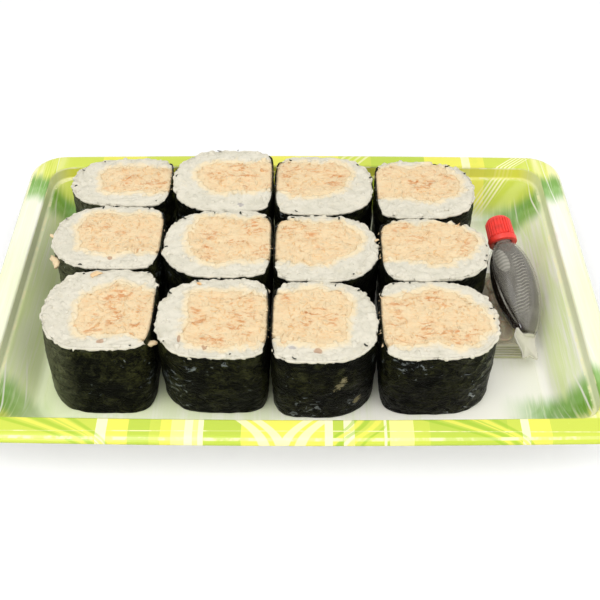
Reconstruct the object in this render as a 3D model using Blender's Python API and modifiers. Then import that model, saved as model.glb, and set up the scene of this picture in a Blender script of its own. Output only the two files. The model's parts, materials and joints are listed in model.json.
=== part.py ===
"""Takeaway sushi tray: twelve thick rice rolls with tuna salad, standing on their cut ends in a
shallow formed tray, with a fish-shaped soy sauce bottle lying on a sachet of pickled ginger.

Metres, +Z up. The origin is on the table under the middle of the tray. +X runs along the long
side to the right and +Y runs away from the eater.
"""

import functools
import math
import random
from typing import NamedTuple

import bmesh
import bpy
from mathutils import Vector

MM = 0.001

# Tray
TRAY_LENGTH = 240.0 * MM
TRAY_DEPTH = 165.0 * MM
SHEET = 1.2 * MM
LONG_SIDE_BOW = 1.2 * MM
# Upper face of the sheet from the outer lip to the raised floor, in millimetres:
# distance in from the outer edge, height, corner radius.
TRAY_PROFILE = (
    (0.0, 18.6, 14.0),
    (1.0, 20.1, 13.4),
    (2.6, 20.9, 12.6),
    (9.4, 21.0, 9.5),
    (10.0, 20.4, 9.2),
    (10.2, 15.6, 9.0),
    (11.6, 14.9, 9.4),
    (19.2, 4.0, 14.0),
    (20.8, 2.0, 13.0),
    (22.4, 1.2, 12.0),
    (24.6, 1.2, 10.5),
    (25.6, 2.2, 10.0),
)
FLOOR = TRAY_PROFILE[-1][1] * MM
CORNER_STEPS = 4
BOW_STEPS = 3

# What lies on or in something else keeps this gap to it.
GAP = 0.3 * MM

# Rolls
SEAWEED = 0.5 * MM
FLAT_SIDE_POWER = 5.0
ROUND_SIDE_POWER = 2.35
OUTLINE_WOBBLE = 0.012
ROLL_SIDES = 24
# How much a full turn of the outline counts beside its length, so corners get more points.
CORNER_WEIGHT = 30.0 * MM
TRACE_STEPS = 1440
# Share of the height, and how far in from the widest outline, in millimetres.
ROLL_LEVELS = ((0.0, 0.7), (0.5, 0.0), (1.0, 0.1))
SEAWEED_DROP = 0.3 * MM
SEAWEED_RAGGED = 0.45 * MM
RICE_RINGS = 3
RICE_LEAST = 1.7 * MM
GRAIN_BUMP = 0.6 * MM
GRAIN_SHIFT = 0.2
FILLING_POWER = 2.6
FILLING_WOBBLE = 0.07
FLAKE_BUMP = 0.7 * MM

# Soy sauce bottle, lying with its cap end up. Along its own +Y it runs from the tail to the cap.
BOTTLE_MOUTH = Vector((85.3, 19.3, 26.2)) * MM
BOTTLE_YAW = math.radians(9.0)
BOTTLE_RISE = math.radians(19.7)
BOTTLE_LEAN = math.radians(34.0)
BOTTLE_WALL = 0.6 * MM
BOTTLE_SIDES = 16
BOTTLE_CLEARANCE = 0.6 * MM
# Distance back from the mouth, half width and half thickness in millimetres, and how full
# the oval is: 2 is a true ellipse and more is squarer.
BOTTLE_STATIONS = (
    (0.0, 3.2, 3.2, 2.0),
    (4.6, 3.2, 3.2, 2.0),
    (5.8, 4.8, 4.6, 2.1),
    (9.5, 7.6, 6.4, 2.2),
    (15.0, 9.6, 7.8, 2.3),
    (22.0, 10.4, 8.4, 2.3),
    (30.0, 9.8, 7.9, 2.3),
    (37.0, 8.2, 6.5, 2.2),
    (42.0, 6.3, 4.7, 2.1),
    (45.0, 4.4, 3.0, 2.0),
    (46.4, 2.8, 1.6, 2.0),
)
# The fin's outline in the plane of the seam, from its root round its tip: distance to the side
# that faces up, below zero for the other side, and distance back from the mouth, in millimetres.
FIN_OUTLINE = (
    (4.4, 42.8),
    (7.4, 45.2),
    (8.4, 48.0),
    (6.4, 53.4),
    (6.6, 56.4),
    (2.6, 55.0),
    (-2.2, 55.8),
    (-3.0, 49.4),
    (-4.2, 42.8),
)
FIN_THICKNESS = 1.0 * MM
SAUCE_LEVEL = 27.4 * MM
AIR_SIZE = 120.0 * MM

# Cap of the bottle
CAP_LENGTH = 12.0 * MM
CAP_OVERLAP = 4.2 * MM
CAP_RADIUS = 5.1 * MM
CAP_TAPER = 0.3 * MM
CAP_EDGE = 1.4 * MM
CAP_BRIM_RADIUS = 5.9 * MM
CAP_BRIM = 2.3 * MM
CAP_BRIM_STEP = 0.4 * MM
CAP_RIBS = 14
CAP_RIB_DEPTH = 0.35 * MM
CAP_BORE = 3.6 * MM
CAP_BORE_DEPTH = 5.2 * MM

# Sachet of pickled ginger, lying along Y. The slices have slid to its back end.
SACHET_CENTRE_X = 85.0 * MM
# Place along Y, half width and height, in millimetres. Both ends are flat seals.
SACHET_STATIONS = (
    (-27.6, 7.2, 0.8),
    (-22.4, 7.2, 0.8),
    (-20.6, 7.0, 2.6),
    (-16.0, 6.8, 3.6),
    (-10.0, 6.6, 5.0),
    (-4.0, 6.6, 6.0),
    (2.0, 6.7, 7.6),
    (7.0, 6.8, 9.0),
    (11.0, 6.9, 8.6),
    (13.6, 7.1, 4.4),
    (15.4, 7.2, 0.8),
    (21.0, 7.2, 0.8),
)
SACHET_SIDES = 12
# Share of the height at which the sachet is widest.
SACHET_WAIST = 0.35


class Roll(NamedTuple):
    """One cut roll, in millimetres.

    flat is +1 or -1 for the squared side, where the filling meets the seaweed. rice_side,
    rice_front and rice_back are how much rice lies beyond the filling on the other sides. lean
    is how far the foot of the roll lies in front of its top, and slope is how much higher the
    back of the cut is than its front.
    """

    name: str
    x: float
    y: float
    width: float
    depth: float
    top: float
    flat: int
    rice_side: float
    rice_front: float
    rice_back: float
    lean: float = 0.0
    slope: float = 0.0


ROLLS = (
    Roll("front_1", -72.5, -31.3, 42.4, 42.2, 34.6, 1, 13.2, 7.0, 9.6, lean=4.5),
    Roll("front_2", -29.85, -36.2, 42.2, 41.2, 34.8, 1, 10.8, 5.0, 7.2),
    Roll("front_3", 11.6, -38.0, 39.9, 41.4, 34.8, -1, 9.8, 8.7, 4.6),
    Roll("front_4", 53.85, -37.05, 43.9, 40.3, 34.8, -1, 4.6, 7.3, 6.4),
    Roll("middle_1", -74.6, 9.35, 44.2, 38.3, 34.6, 1, 8.8, 9.3, 5.5),
    Roll("middle_2", -30.35, 4.8, 43.6, 40.0, 35.4, 1, 9.4, 8.7, 4.8),
    Roll("middle_3", 12.75, 2.7, 41.8, 39.2, 34.8, -1, 7.6, 10.7, 4.2),
    Roll("middle_4", 55.6, 2.05, 43.2, 37.1, 34.8, -1, 4.4, 10.8, 3.6),
    Roll("back_1", -73.6, 45.15, 43.0, 32.5, 34.6, 1, 10.5, 9.0, 6.2),
    Roll("back_2", -30.35, 43.8, 42.8, 37.2, 36.6, 1, 9.7, 12.0, 8.4, slope=3.8),
    Roll("back_3", 12.5, 42.35, 42.2, 39.3, 35.2, -1, 10.0, 12.6, 4.4),
    Roll("back_4", 55.1, 40.25, 42.3, 38.5, 34.8, -1, 5.6, 12.2, 4.2),
)


def remove_everything():
    for thing in list(bpy.data.objects):
        bpy.data.objects.remove(thing, do_unlink=True)


def finish(name, colour, roughness, metallic=0.0, alpha=1.0):
    material = bpy.data.materials.new(name)
    material.use_nodes = True
    shader = material.node_tree.nodes["Principled BSDF"]
    shader.inputs["Base Color"].default_value = (*colour, 1.0)
    shader.inputs["Roughness"].default_value = roughness
    shader.inputs["Metallic"].default_value = metallic
    shader.inputs["Alpha"].default_value = alpha
    return material


def place(name, shape, material, collection):
    """Turns a bmesh into a named object."""
    mesh = bpy.data.meshes.new(name)
    shape.to_mesh(mesh)
    shape.free()
    mesh.materials.append(material)
    thing = bpy.data.objects.new(name, mesh)
    collection.objects.link(thing)
    return thing


def smooth(thing, angle=40.0):
    thing.data.shade_smooth()
    thing.data.set_sharp_from_angle(angle=math.radians(angle))


def loft(shape, rings, closed=True, wrapped=False):
    """Faces between rings of equal length, wrapped from the last to the first where asked.

    Returns the vertices of each ring.
    """
    rows = [[shape.verts.new(point) for point in ring] for ring in rings]
    count = len(rows[0])
    last = count if closed else count - 1
    following = rows[1:] + rows[:1] if wrapped else rows[1:]
    for near, far in zip(rows, following):
        for i in range(last):
            j = (i + 1) % count
            shape.faces.new((near[i], near[j], far[j], far[i]))
    return rows


def closed_loft(rings):
    """A solid between a first and a last ring, both capped."""
    shape = bmesh.new()
    rows = loft(shape, rings)
    shape.faces.new(list(reversed(rows[0])))
    shape.faces.new(rows[-1])
    bmesh.ops.recalc_face_normals(shape, faces=shape.faces)
    return shape


# Tray


def tray_ring(inset, height, radius):
    """A rounded rectangle, anticlockwise from above, whose long sides bow out a little."""
    half_x = TRAY_LENGTH / 2 - inset
    half_y = TRAY_DEPTH / 2 - inset
    points = []
    corners = ((1, 1, 0.0), (-1, 1, 90.0), (-1, -1, 180.0), (1, -1, 270.0))
    for side_x, side_y, start in corners:
        centre_x = side_x * (half_x - radius)
        centre_y = side_y * (half_y - radius)
        for step in range(CORNER_STEPS + 1):
            angle = math.radians(start + 90.0 * step / CORNER_STEPS)
            x = centre_x + radius * math.cos(angle)
            y = centre_y + radius * math.sin(angle)
            points.append(Vector((x, y, height)))
        if side_x == side_y:
            straight = 2 * (half_x - radius)
            for step in range(1, BOW_STEPS):
                along = step / BOW_STEPS
                x = centre_x - side_x * straight * along
                y = side_y * (half_y + LONG_SIDE_BOW * math.sin(math.pi * along))
                points.append(Vector((x, y, height)))
    return points


def make_tray(collection, material):
    shape = bmesh.new()
    rings = [tray_ring(d * MM, z * MM, r * MM) for d, z, r in TRAY_PROFILE]
    rows = loft(shape, rings)
    shape.faces.new(rows[-1])
    tray = place("tray", shape, material, collection)
    thickness = tray.modifiers.new("sheet", "SOLIDIFY")
    thickness.thickness = SHEET
    thickness.offset = -1.0
    thickness.use_even_offset = True
    smooth(tray, 50.0)


# Rolls


def signed_power(value, power):
    return math.copysign(abs(value) ** power, value)


def outline_point(roll, turn, inset):
    """A point of the roll's outline as seen from above, drawn in by inset."""
    across = math.cos(turn)
    power = FLAT_SIDE_POWER if across > 0 else ROUND_SIDE_POWER
    wobble = math.sin(3.0 * turn + roll.x + roll.y) * (1.0 - across) / 2
    swell = 1.0 - OUTLINE_WOBBLE * abs(wobble)
    x = (roll.width * MM / 2 * swell - inset) * signed_power(across, 2.0 / power)
    y = (roll.depth * MM / 2 * swell - inset) * signed_power(math.sin(turn), 2.0 / power)
    return Vector((roll.flat * x, y))


@functools.cache
def outline_turns(roll):
    """The turns that space the outline's points evenly, and closer where it bends."""
    turns = [math.tau * i / TRACE_STEPS for i in range(TRACE_STEPS + 1)]
    points = [outline_point(roll, turn, 0.0) for turn in turns]
    steps = [far - near for near, far in zip(points, points[1:])]
    run = [0.0]
    for i, step in enumerate(steps):
        bend = step.angle(steps[i - 1]) / math.tau
        run.append(run[-1] + step.length + CORNER_WEIGHT * bend)
    chosen = []
    i = 0
    for side in range(ROLL_SIDES):
        wanted = run[-1] * side / ROLL_SIDES
        while run[i + 1] <= wanted:
            i += 1
        share = (wanted - run[i]) / (run[i + 1] - run[i])
        chosen.append(turns[i] + share * (turns[i + 1] - turns[i]))
    return chosen


def roll_outline(roll, inset):
    """Points round the roll from its own middle. The first is in the middle of the flat side."""
    return [outline_point(roll, turn, inset) for turn in outline_turns(roll)]


def raised(roll, points, heights):
    """The points in the world, each at its own height, with the roll's lean and slope."""
    bottom = FLOOR + GAP
    placed = []
    for point, height in zip(points, heights):
        share = (height - bottom) / (roll.top * MM - bottom)
        x = roll.x * MM + point.x
        y = roll.y * MM + point.y - roll.lean * MM * (1.0 - share)
        z = height + roll.slope * share * point.y / roll.depth
        placed.append(Vector((x, y, z)))
    return placed


def roll_levels(roll, drop=0.0):
    """Height and inset of each ring of the roll's side. drop lowers the top."""
    bottom = FLOOR + GAP
    top = roll.top * MM - drop
    return [(bottom + (top - bottom) * share, inset * MM) for share, inset in ROLL_LEVELS]


def make_seaweed(roll, collection, material, chance):
    """A tube of seaweed, open at both ends, with a slightly ragged upper edge."""
    levels = roll_levels(roll, SEAWEED_DROP)
    top = levels[-1][0]
    ragged = [top - SEAWEED_RAGGED * chance.random() for _ in range(ROLL_SIDES)]

    def ring(height, inset):
        heights = ragged if height == top else [height] * ROLL_SIDES
        return raised(roll, roll_outline(roll, inset), heights)

    outer = [ring(height, inset) for height, inset in levels]
    inner = [ring(height, inset + SEAWEED) for height, inset in reversed(levels)]
    shape = bmesh.new()
    loft(shape, outer + inner, wrapped=True)
    bmesh.ops.recalc_face_normals(shape, faces=shape.faces)
    smooth(place(f"seaweed_{roll.name}", shape, material, collection))


def filling_centre(roll):
    x = roll.flat * roll.rice_side * MM / 2
    y = (roll.rice_front - roll.rice_back) * MM / 2
    return Vector((x, y))


def filling_radius(roll, angle):
    """How far the filling spreads from its centre where no seaweed stops it."""
    half_x = (roll.width - roll.rice_side) * MM / 2
    half_y = (roll.depth - roll.rice_front - roll.rice_back) * MM / 2
    across = abs(math.cos(angle)) / half_x
    along = abs(math.sin(angle)) / half_y
    plain = (across**FILLING_POWER + along**FILLING_POWER) ** (-1.0 / FILLING_POWER)
    wobble = math.sin(3.0 * angle + roll.x) + 0.6 * math.sin(5.0 * angle + roll.y)
    pressed_out = 1.12 if math.cos(angle) * roll.flat > 0.5 else 1.0
    return plain * pressed_out * (1.0 + FILLING_WOBBLE * wobble)


def rice_span(roll):
    """The outline points between which there is rice, as a first and a last index.

    One more point at either end holds the thin end of the rice.
    """
    centre = filling_centre(roll)
    inside = roll_outline(roll, ROLL_LEVELS[0][1] * MM + SEAWEED + GAP)
    covered = []
    for i, point in enumerate(inside):
        spoke = point - centre
        if spoke.length - filling_radius(roll, math.atan2(spoke.y, spoke.x)) > RICE_LEAST:
            covered.append(i)
    return covered[0] - 1, covered[-1] + 1


def filling_outline(roll):
    """Where the filling ends toward each point of the roll's outline."""
    centre = filling_centre(roll)
    first, last = rice_span(roll)
    points = []
    for i, point in enumerate(roll_outline(roll, ROLL_LEVELS[0][1] * MM + SEAWEED + GAP)):
        spoke = point - centre
        reach = spoke.length
        if first <= i <= last:
            wanted = filling_radius(roll, math.atan2(spoke.y, spoke.x))
            reach = min(wanted, spoke.length - RICE_LEAST)
        points.append(centre + spoke.normalized() * reach)
    return points


def make_rice(roll, collection, material, chance):
    """The rice round the filling, open at the flat side, its top raised into grains."""
    first, last = rice_span(roll)
    centre = filling_centre(roll)
    inner = [
        point + (point - centre).normalized() * 1.5 * GAP
        for point in filling_outline(roll)[first : last + 1]
    ]
    levels = roll_levels(roll)
    bottom, bottom_inset = levels[0]
    top, top_inset = levels[-1]

    def row(height, inset, share):
        """Points along the strip, share 0 at the filling and 1 at the seaweed."""
        outer = roll_outline(roll, inset + SEAWEED + GAP)[first : last + 1]
        points = [near.lerp(far, share) for near, far in zip(inner, outer)]
        return raised(roll, points, [height] * len(points))

    profile = [row(height, inset, 1.0) for height, inset in levels]
    for ring in range(RICE_RINGS - 1, -1, -1):
        profile.append(row(top, top_inset, ring / RICE_RINGS))
    profile.append(row(bottom, bottom_inset, 0.0))

    shape = bmesh.new()
    rows = loft(shape, profile, closed=False, wrapped=True)
    for end in (0, -1):
        shape.faces.new([row[end] for row in rows])
    bmesh.ops.recalc_face_normals(shape, faces=shape.faces)
    loosen_grains(shape, rows[len(levels) - 1 : -1], chance)
    place(f"rice_{roll.name}", shape, material, collection)


def loosen_grains(shape, top_rows, chance):
    """Raises each patch of the top into a grain, after moving the inner corners a little."""
    on_top = {vertex for row in top_rows for vertex in row}
    grains = [face for face in shape.faces if all(vertex in on_top for vertex in face.verts)]
    for row in top_rows[1:-1]:
        for vertex in row[1:-1]:
            room = GRAIN_SHIFT * min(edge.calc_length() for edge in vertex.link_edges)
            vertex.co.x += chance.uniform(-room, room)
            vertex.co.y += chance.uniform(-room, room)
    bmesh.ops.poke(shape, faces=grains, offset=GRAIN_BUMP)


def make_filling(roll, collection, material, chance):
    """Tuna salad through the whole roll, its top broken into flakes."""
    centre = filling_centre(roll)
    outline = filling_outline(roll)
    bottom = FLOOR + GAP
    top = roll.top * MM - FLAKE_BUMP / 3

    def ring(height, share, rough):
        points = [centre.lerp(point, share) for point in outline]
        heights = [height + rough * chance.uniform(-0.4, 1.0) for _ in points]
        return raised(roll, points, heights)

    rings = [
        ring(bottom, 1.0, 0.0),
        ring(top, 1.0, 0.0),
        ring(top, 0.7, FLAKE_BUMP),
        ring(top + FLAKE_BUMP / 2, 0.35, FLAKE_BUMP),
    ]
    place(f"filling_{roll.name}", closed_loft(rings), material, collection)


# Soy sauce bottle


def bottle_rings():
    """Oval rings along the bottle's own axis, from its mouth to its tail."""
    rings = []
    for back, half_width, half_thickness, power in BOTTLE_STATIONS:
        ring = []
        for i in range(BOTTLE_SIDES):
            angle = math.tau * i / BOTTLE_SIDES
            x = half_width * MM * signed_power(math.cos(angle), 2.0 / power)
            z = half_thickness * MM * signed_power(math.sin(angle), 2.0 / power)
            ring.append(Vector((x, -back * MM, z)))
        rings.append(ring)
    return rings


def make_bottle_frame(collection):
    frame = bpy.data.objects.new("bottle_frame", None)
    collection.objects.link(frame)
    frame.rotation_mode = "YXZ"
    frame.rotation_euler = (BOTTLE_RISE, BOTTLE_LEAN, BOTTLE_YAW)
    frame.location = BOTTLE_MOUTH
    return frame


def tail_fin(helpers):
    """The flat forked fin, as a helper that the bottle is joined with."""
    faces = [
        [Vector((-up * MM, -back * MM, side * FIN_THICKNESS / 2)) for up, back in FIN_OUTLINE]
        for side in (-1, 1)
    ]
    fin = bpy.data.objects.new("tail_fin", bpy.data.meshes.new("tail_fin"))
    shape = closed_loft(faces)
    shape.to_mesh(fin.data)
    shape.free()
    helpers.objects.link(fin)
    fin.hide_render = True
    fin.display_type = "WIRE"
    return fin


def make_bottle(frame, collection, helpers, material):
    shape = bmesh.new()
    rows = loft(shape, bottle_rings())
    shape.faces.new(rows[-1])
    bottle = place("bottle", shape, material, collection)
    bottle.parent = frame
    wall = bottle.modifiers.new("wall", "SOLIDIFY")
    wall.thickness = BOTTLE_WALL
    wall.offset = -1.0
    wall.use_even_offset = True
    fin = tail_fin(helpers)
    fin.parent = frame
    join = bottle.modifiers.new("fin", "BOOLEAN")
    join.operation = "UNION"
    join.object = fin
    smooth(bottle, 45.0)


def make_sauce(frame, collection, helpers, material):
    """What the bottle holds as far as the root of the fin, with a level surface."""
    sauce = place("soy_sauce", closed_loft(bottle_rings()[:-2]), material, collection)
    sauce.parent = frame
    inside = sauce.modifiers.new("inside", "DISPLACE")
    inside.mid_level = 0.0
    inside.strength = -(BOTTLE_WALL + BOTTLE_CLEARANCE)
    bpy.ops.mesh.primitive_cube_add(size=AIR_SIZE)
    air = bpy.context.object
    air.name = "air"
    for group in air.users_collection:
        group.objects.unlink(air)
    helpers.objects.link(air)
    air.location = (BOTTLE_MOUTH.x, BOTTLE_MOUTH.y, SAUCE_LEVEL + AIR_SIZE / 2)
    air.hide_render = True
    air.display_type = "WIRE"
    cut = sauce.modifiers.new("level", "BOOLEAN")
    cut.operation = "DIFFERENCE"
    cut.object = air
    smooth(sauce, 45.0)


def make_cap(frame, collection, material):
    """A ribbed screw cap with a brim, bored for the neck."""
    count = 2 * CAP_RIBS

    def ring(y, radius, rib=0.0):
        points = []
        for i in range(count):
            angle = math.tau * i / count
            r = radius - rib * (i % 2)
            points.append(Vector((r * math.cos(angle), y, r * math.sin(angle))))
        return points

    mouth_end = -CAP_OVERLAP
    far_end = mouth_end + CAP_LENGTH
    bore_end = mouth_end + CAP_BORE_DEPTH
    rings = [
        ring(bore_end, CAP_BORE),
        ring(mouth_end, CAP_BORE),
        ring(mouth_end, CAP_BRIM_RADIUS),
        ring(mouth_end + CAP_BRIM, CAP_BRIM_RADIUS),
        ring(mouth_end + CAP_BRIM + CAP_BRIM_STEP, CAP_RADIUS, CAP_RIB_DEPTH),
        ring(far_end - CAP_EDGE, CAP_RADIUS - CAP_TAPER, CAP_RIB_DEPTH),
        ring(far_end, CAP_RADIUS - CAP_TAPER - CAP_EDGE),
    ]
    cap = place("cap", closed_loft(rings), material, collection)
    cap.parent = frame
    smooth(cap, 30.0)


# Sachet of ginger


def make_sachet(collection, material):
    rings = []
    for y, half_width, height in SACHET_STATIONS:
        ring = []
        for i in range(SACHET_SIDES):
            angle = math.tau * i / SACHET_SIDES
            x = SACHET_CENTRE_X + half_width * MM * math.cos(angle)
            side = math.sin(angle)
            reach = 1.0 - SACHET_WAIST if side > 0 else SACHET_WAIST
            z = FLOOR + GAP + height * MM * (SACHET_WAIST + reach * side)
            ring.append(Vector((x, y * MM, z)))
        rings.append(ring)
    smooth(place("ginger_sachet", closed_loft(rings), material, collection), 60.0)


def main():
    remove_everything()
    scene = bpy.context.scene.collection
    parts = bpy.data.collections.new("takeaway_sushi_tray")
    helpers = bpy.data.collections.new("cutters")
    scene.children.link(parts)
    scene.children.link(helpers)

    printed = finish("printed_tray", (0.62, 0.76, 0.22), 0.35)
    seaweed = finish("seaweed", (0.012, 0.016, 0.008), 0.45)
    rice = finish("rice", (0.84, 0.81, 0.72), 0.5)
    tuna = finish("tuna_salad", (0.90, 0.66, 0.40), 0.55)
    clear = finish("clear_plastic", (0.55, 0.54, 0.50), 0.3, alpha=0.5)
    sauce = finish("soy_sauce", (0.03, 0.012, 0.006), 0.15)
    red = finish("red_plastic", (0.85, 0.04, 0.03), 0.35)
    ginger = finish("ginger_film", (0.72, 0.50, 0.36), 0.25)

    make_tray(parts, printed)
    for number, roll in enumerate(ROLLS):
        chance = random.Random(number)
        make_seaweed(roll, parts, seaweed, chance)
        make_rice(roll, parts, rice, chance)
        make_filling(roll, parts, tuna, chance)
    frame = make_bottle_frame(parts)
    make_bottle(frame, parts, helpers, clear)
    make_sauce(frame, parts, helpers, sauce)
    make_cap(frame, parts, red)
    make_sachet(parts, ginger)


main()
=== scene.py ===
"""Looks of the takeaway sushi tray: printed tray, twelve thick rolls, sauce fish and ginger sachet.

Metres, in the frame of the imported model. The sizes that repeat here are those of the part's source.
"""

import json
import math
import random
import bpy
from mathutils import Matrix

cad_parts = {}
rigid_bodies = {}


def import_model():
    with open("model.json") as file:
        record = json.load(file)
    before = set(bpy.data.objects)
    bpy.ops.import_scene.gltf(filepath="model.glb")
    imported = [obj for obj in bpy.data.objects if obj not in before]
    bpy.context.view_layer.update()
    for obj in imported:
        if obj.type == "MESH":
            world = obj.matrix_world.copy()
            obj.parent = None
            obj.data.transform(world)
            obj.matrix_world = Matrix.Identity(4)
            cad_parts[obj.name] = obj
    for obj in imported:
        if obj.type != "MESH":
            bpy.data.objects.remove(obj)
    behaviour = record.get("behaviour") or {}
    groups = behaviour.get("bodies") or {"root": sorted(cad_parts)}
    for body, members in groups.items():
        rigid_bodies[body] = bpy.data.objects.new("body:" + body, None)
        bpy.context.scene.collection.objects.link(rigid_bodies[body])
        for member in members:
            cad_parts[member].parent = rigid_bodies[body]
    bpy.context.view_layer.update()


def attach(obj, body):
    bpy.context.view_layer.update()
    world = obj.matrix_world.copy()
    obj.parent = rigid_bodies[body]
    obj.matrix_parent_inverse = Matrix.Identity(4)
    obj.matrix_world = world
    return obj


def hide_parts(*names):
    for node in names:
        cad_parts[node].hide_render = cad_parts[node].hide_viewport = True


bl_info = {
    "name": "Takeaway sushi tray",
    "version": (1, 0, 0),
    "blender": (4, 5, 0),
    "location": "3D View > Sidebar > Sushi",
    "description": "Builds a printed takeaway tray of rice rolls with sauce and ginger",
    "category": "Add Mesh",
}

from functools import cached_property
from typing import NamedTuple

import bmesh
import bpy
import numpy as np
from bpy.props import FloatProperty, FloatVectorProperty, IntProperty, PointerProperty
from bpy.types import Operator, Panel, PropertyGroup
from mathutils import Euler, Vector, noise

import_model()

MM = 0.001

# Tray: distance in from the outer edge, height and corner radius of the sheet's upper face, in
# millimetres, from the outer lip to the raised floor.
TRAY_PROFILE = (
    (0.0, 18.6, 14.0), (1.0, 20.1, 13.4), (2.6, 20.9, 12.6), (9.4, 21.0, 9.5), (10.0, 20.4, 9.2),
    (10.2, 15.6, 9.0), (11.6, 14.9, 9.4), (19.2, 4.0, 14.0), (20.8, 2.0, 13.0), (22.4, 1.2, 12.0),
    (24.6, 1.2, 10.5), (25.6, 2.2, 10.0),
)
LONG_SIDE_BOW = 1.2 * MM
FLOOR = 2.2 * MM

# Printed stripes of the long rims: where each starts along X, in millimetres, and its colour
FRONT_STRIPES = (
    (-120.0, "lime"), (-68.8, "cream"), (-65.6, "yellow"), (-57.6, "fresh"), (-50.5, "lime"),
    (-46.0, "yellow"), (-42.7, "pale"), (-38.4, "cream"), (-35.0, "pale"), (-33.3, "cream"),
    (-31.3, "fresh"), (-18.1, "yellow"), (11.2, "cream"), (13.4, "fresh"), (17.8, "cream"),
    (20.8, "lime"), (31.2, "cream"), (32.4, "fresh"), (33.6, "pale"), (41.5, "lime"), (47.0, "fresh"),
    (74.5, "lime"), (79.6, "cream"), (82.4, "yellow"), (89.7, "lime"),
)
BACK_STRIPES = (
    (-120.0, "lime"), (-88.9, "yellow"), (-69.0, "lime"), (-46.0, "fresh"), (-30.0, "lime"),
    (-11.3, "yellow"), (-0.3, "pale"), (6.0, "yellow"), (19.5, "lime"), (34.6, "fresh"),
    (58.5, "yellow"), (75.5, "cream"), (79.2, "yellow"), (86.0, "lime"),
)
STRIPES_END = 120.0
# Linear colour of the reddish tinge on the right short wall
BLUSH = (0.86, 0.72, 0.68)

# Room between neighbouring pieces, and thickness of the seaweed
GAP = 0.3 * MM
SEAWEED = 0.5 * MM

# Outline of a roll: powers of its two ovals, and how far it wanders as a share of its size
FLAT_SIDE_POWER = 5.0
ROUND_SIDE_POWER = 2.35
OUTLINE_WOBBLE = 0.012
# How far a roll is drawn in, in millimetres, at shares of its height
ROLL_LEVELS = ((0.0, 0.7), (0.5, 0.0), (1.0, 0.1))
FILLING_POWER = 2.6
FILLING_WOBBLE = 0.07
# Length of outline that a full turn is worth when points are spaced
CORNER_WEIGHT = 30.0 * MM
# Furthest turn of the grains and flakes from the roll's own direction, in radians
SWIRL = 3.0
SEAWEED_COLUMNS, SEAWEED_ROWS = 220, 34
RICE_COLUMNS, RICE_ROWS = 168, 22
TUNA_COLUMNS, TUNA_ROWS = 150, 31

# How far the dressing stains the rice
STAIN_REACH = 4.0 * MM

# Scattered shapes: most points for each square metre before the spacing thins them
MOST_POINTS = 4.0e6
GRAIN_KINDS = 3
GRAIN_WIDTH = 2.5 * MM
# Least width of a rice face that holds loose grains
THICK_ENOUGH = 3.4 * MM
# Each kind of shred: its share of a shred's length, and its width in millimetres
SHRED_KINDS = ((1.1, 0.9), (0.75, 1.3), (0.5, 1.5), (0.3, 1.1))

# Soy sauce bottle, in its own frame with +Y from the tail to the cap. Stations: place back from
# the mouth, half width and half thickness, in millimetres, and the power of the oval.
BOTTLE_MOUTH = Vector((85.3, 19.3, 26.2)) * MM
BOTTLE_TURN = (math.radians(19.7), math.radians(34.0), math.radians(9.0))
BOTTLE_STATIONS = (
    (0.0, 3.2, 3.2, 2.0), (4.6, 3.2, 3.2, 2.0), (5.8, 4.8, 4.6, 2.1), (9.5, 7.6, 6.4, 2.2),
    (15.0, 9.6, 7.8, 2.3), (22.0, 10.4, 8.4, 2.3), (30.0, 9.8, 7.9, 2.3), (37.0, 8.2, 6.5, 2.2),
    (42.0, 6.3, 4.7, 2.1), (45.0, 4.4, 3.0, 2.0), (46.4, 2.8, 1.6, 2.0),
)
# The fin's outline: place up and back, in millimetres
FIN_OUTLINE = (
    (4.4, 42.8), (7.4, 45.2), (8.4, 48.0), (6.4, 53.4), (6.6, 56.4), (2.6, 55.0), (-2.2, 55.8),
    (-3.0, 49.4), (-4.2, 42.8),
)
# Layers of the fin: height in millimetres and share of the outline
FIN_LAYERS = ((-0.12, 0.93), (-0.45, 0.97), (0.0, 1.0), (0.45, 0.97), (0.12, 0.93))
BOTTLE_WALL = 0.9 * MM
SAUCE_LEVEL = 27.4 * MM
# Linear colour of the sauce where it is deepest
DEEP_SAUCE = (0.004, 0.002, 0.001)

# Cap: place along the axis and radius, in millimetres, from inside the bore round to the end
CAP_LINE = (
    (1.0, 0.05), (1.0, 3.6), (-4.2, 3.6), (-4.2, 5.5), (-4.0, 5.8), (-2.2, 5.9),
    (-1.95, 5.75), (-1.7, 5.0), (6.0, 4.75), (7.0, 4.45), (7.6, 3.6), (7.8, 2.6), (7.8, 0.05),
)
# Sections of a rib: place along the axis, height and half width, in millimetres
RIB_SECTIONS = ((-1.6, 0.3, 0.42), (-1.4, 0.6, 0.42), (5.6, 0.36, 0.4), (6.6, -0.3, 0.3))
RIB_RADIUS = 4.95 * MM

# Sachet. Stations: place along Y, half width and height, in millimetres.
SACHET_CENTRE_X = 85.0 * MM
SACHET_STATIONS = (
    (-27.6, 7.2, 0.8), (-22.4, 7.2, 0.8), (-20.6, 7.0, 2.6), (-16.0, 6.8, 3.6), (-10.0, 6.6, 5.0),
    (-4.0, 6.6, 6.0), (2.0, 6.7, 7.6), (7.0, 6.8, 9.0), (11.0, 6.9, 8.6), (13.6, 7.1, 4.4),
    (15.4, 7.2, 0.8), (21.0, 7.2, 0.8),
)
# Share of the height at which the film's two faces meet, and length of a seal in millimetres
SACHET_WAIST = 0.35
SEAL_LENGTH = 5.2


class Roll(NamedTuple):
    """One cut roll, in millimetres, as in the part's source."""

    name: str
    x: float
    y: float
    width: float
    depth: float
    top: float
    flat: int
    rice_side: float
    rice_front: float
    rice_back: float
    lean: float = 0.0
    slope: float = 0.0


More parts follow.
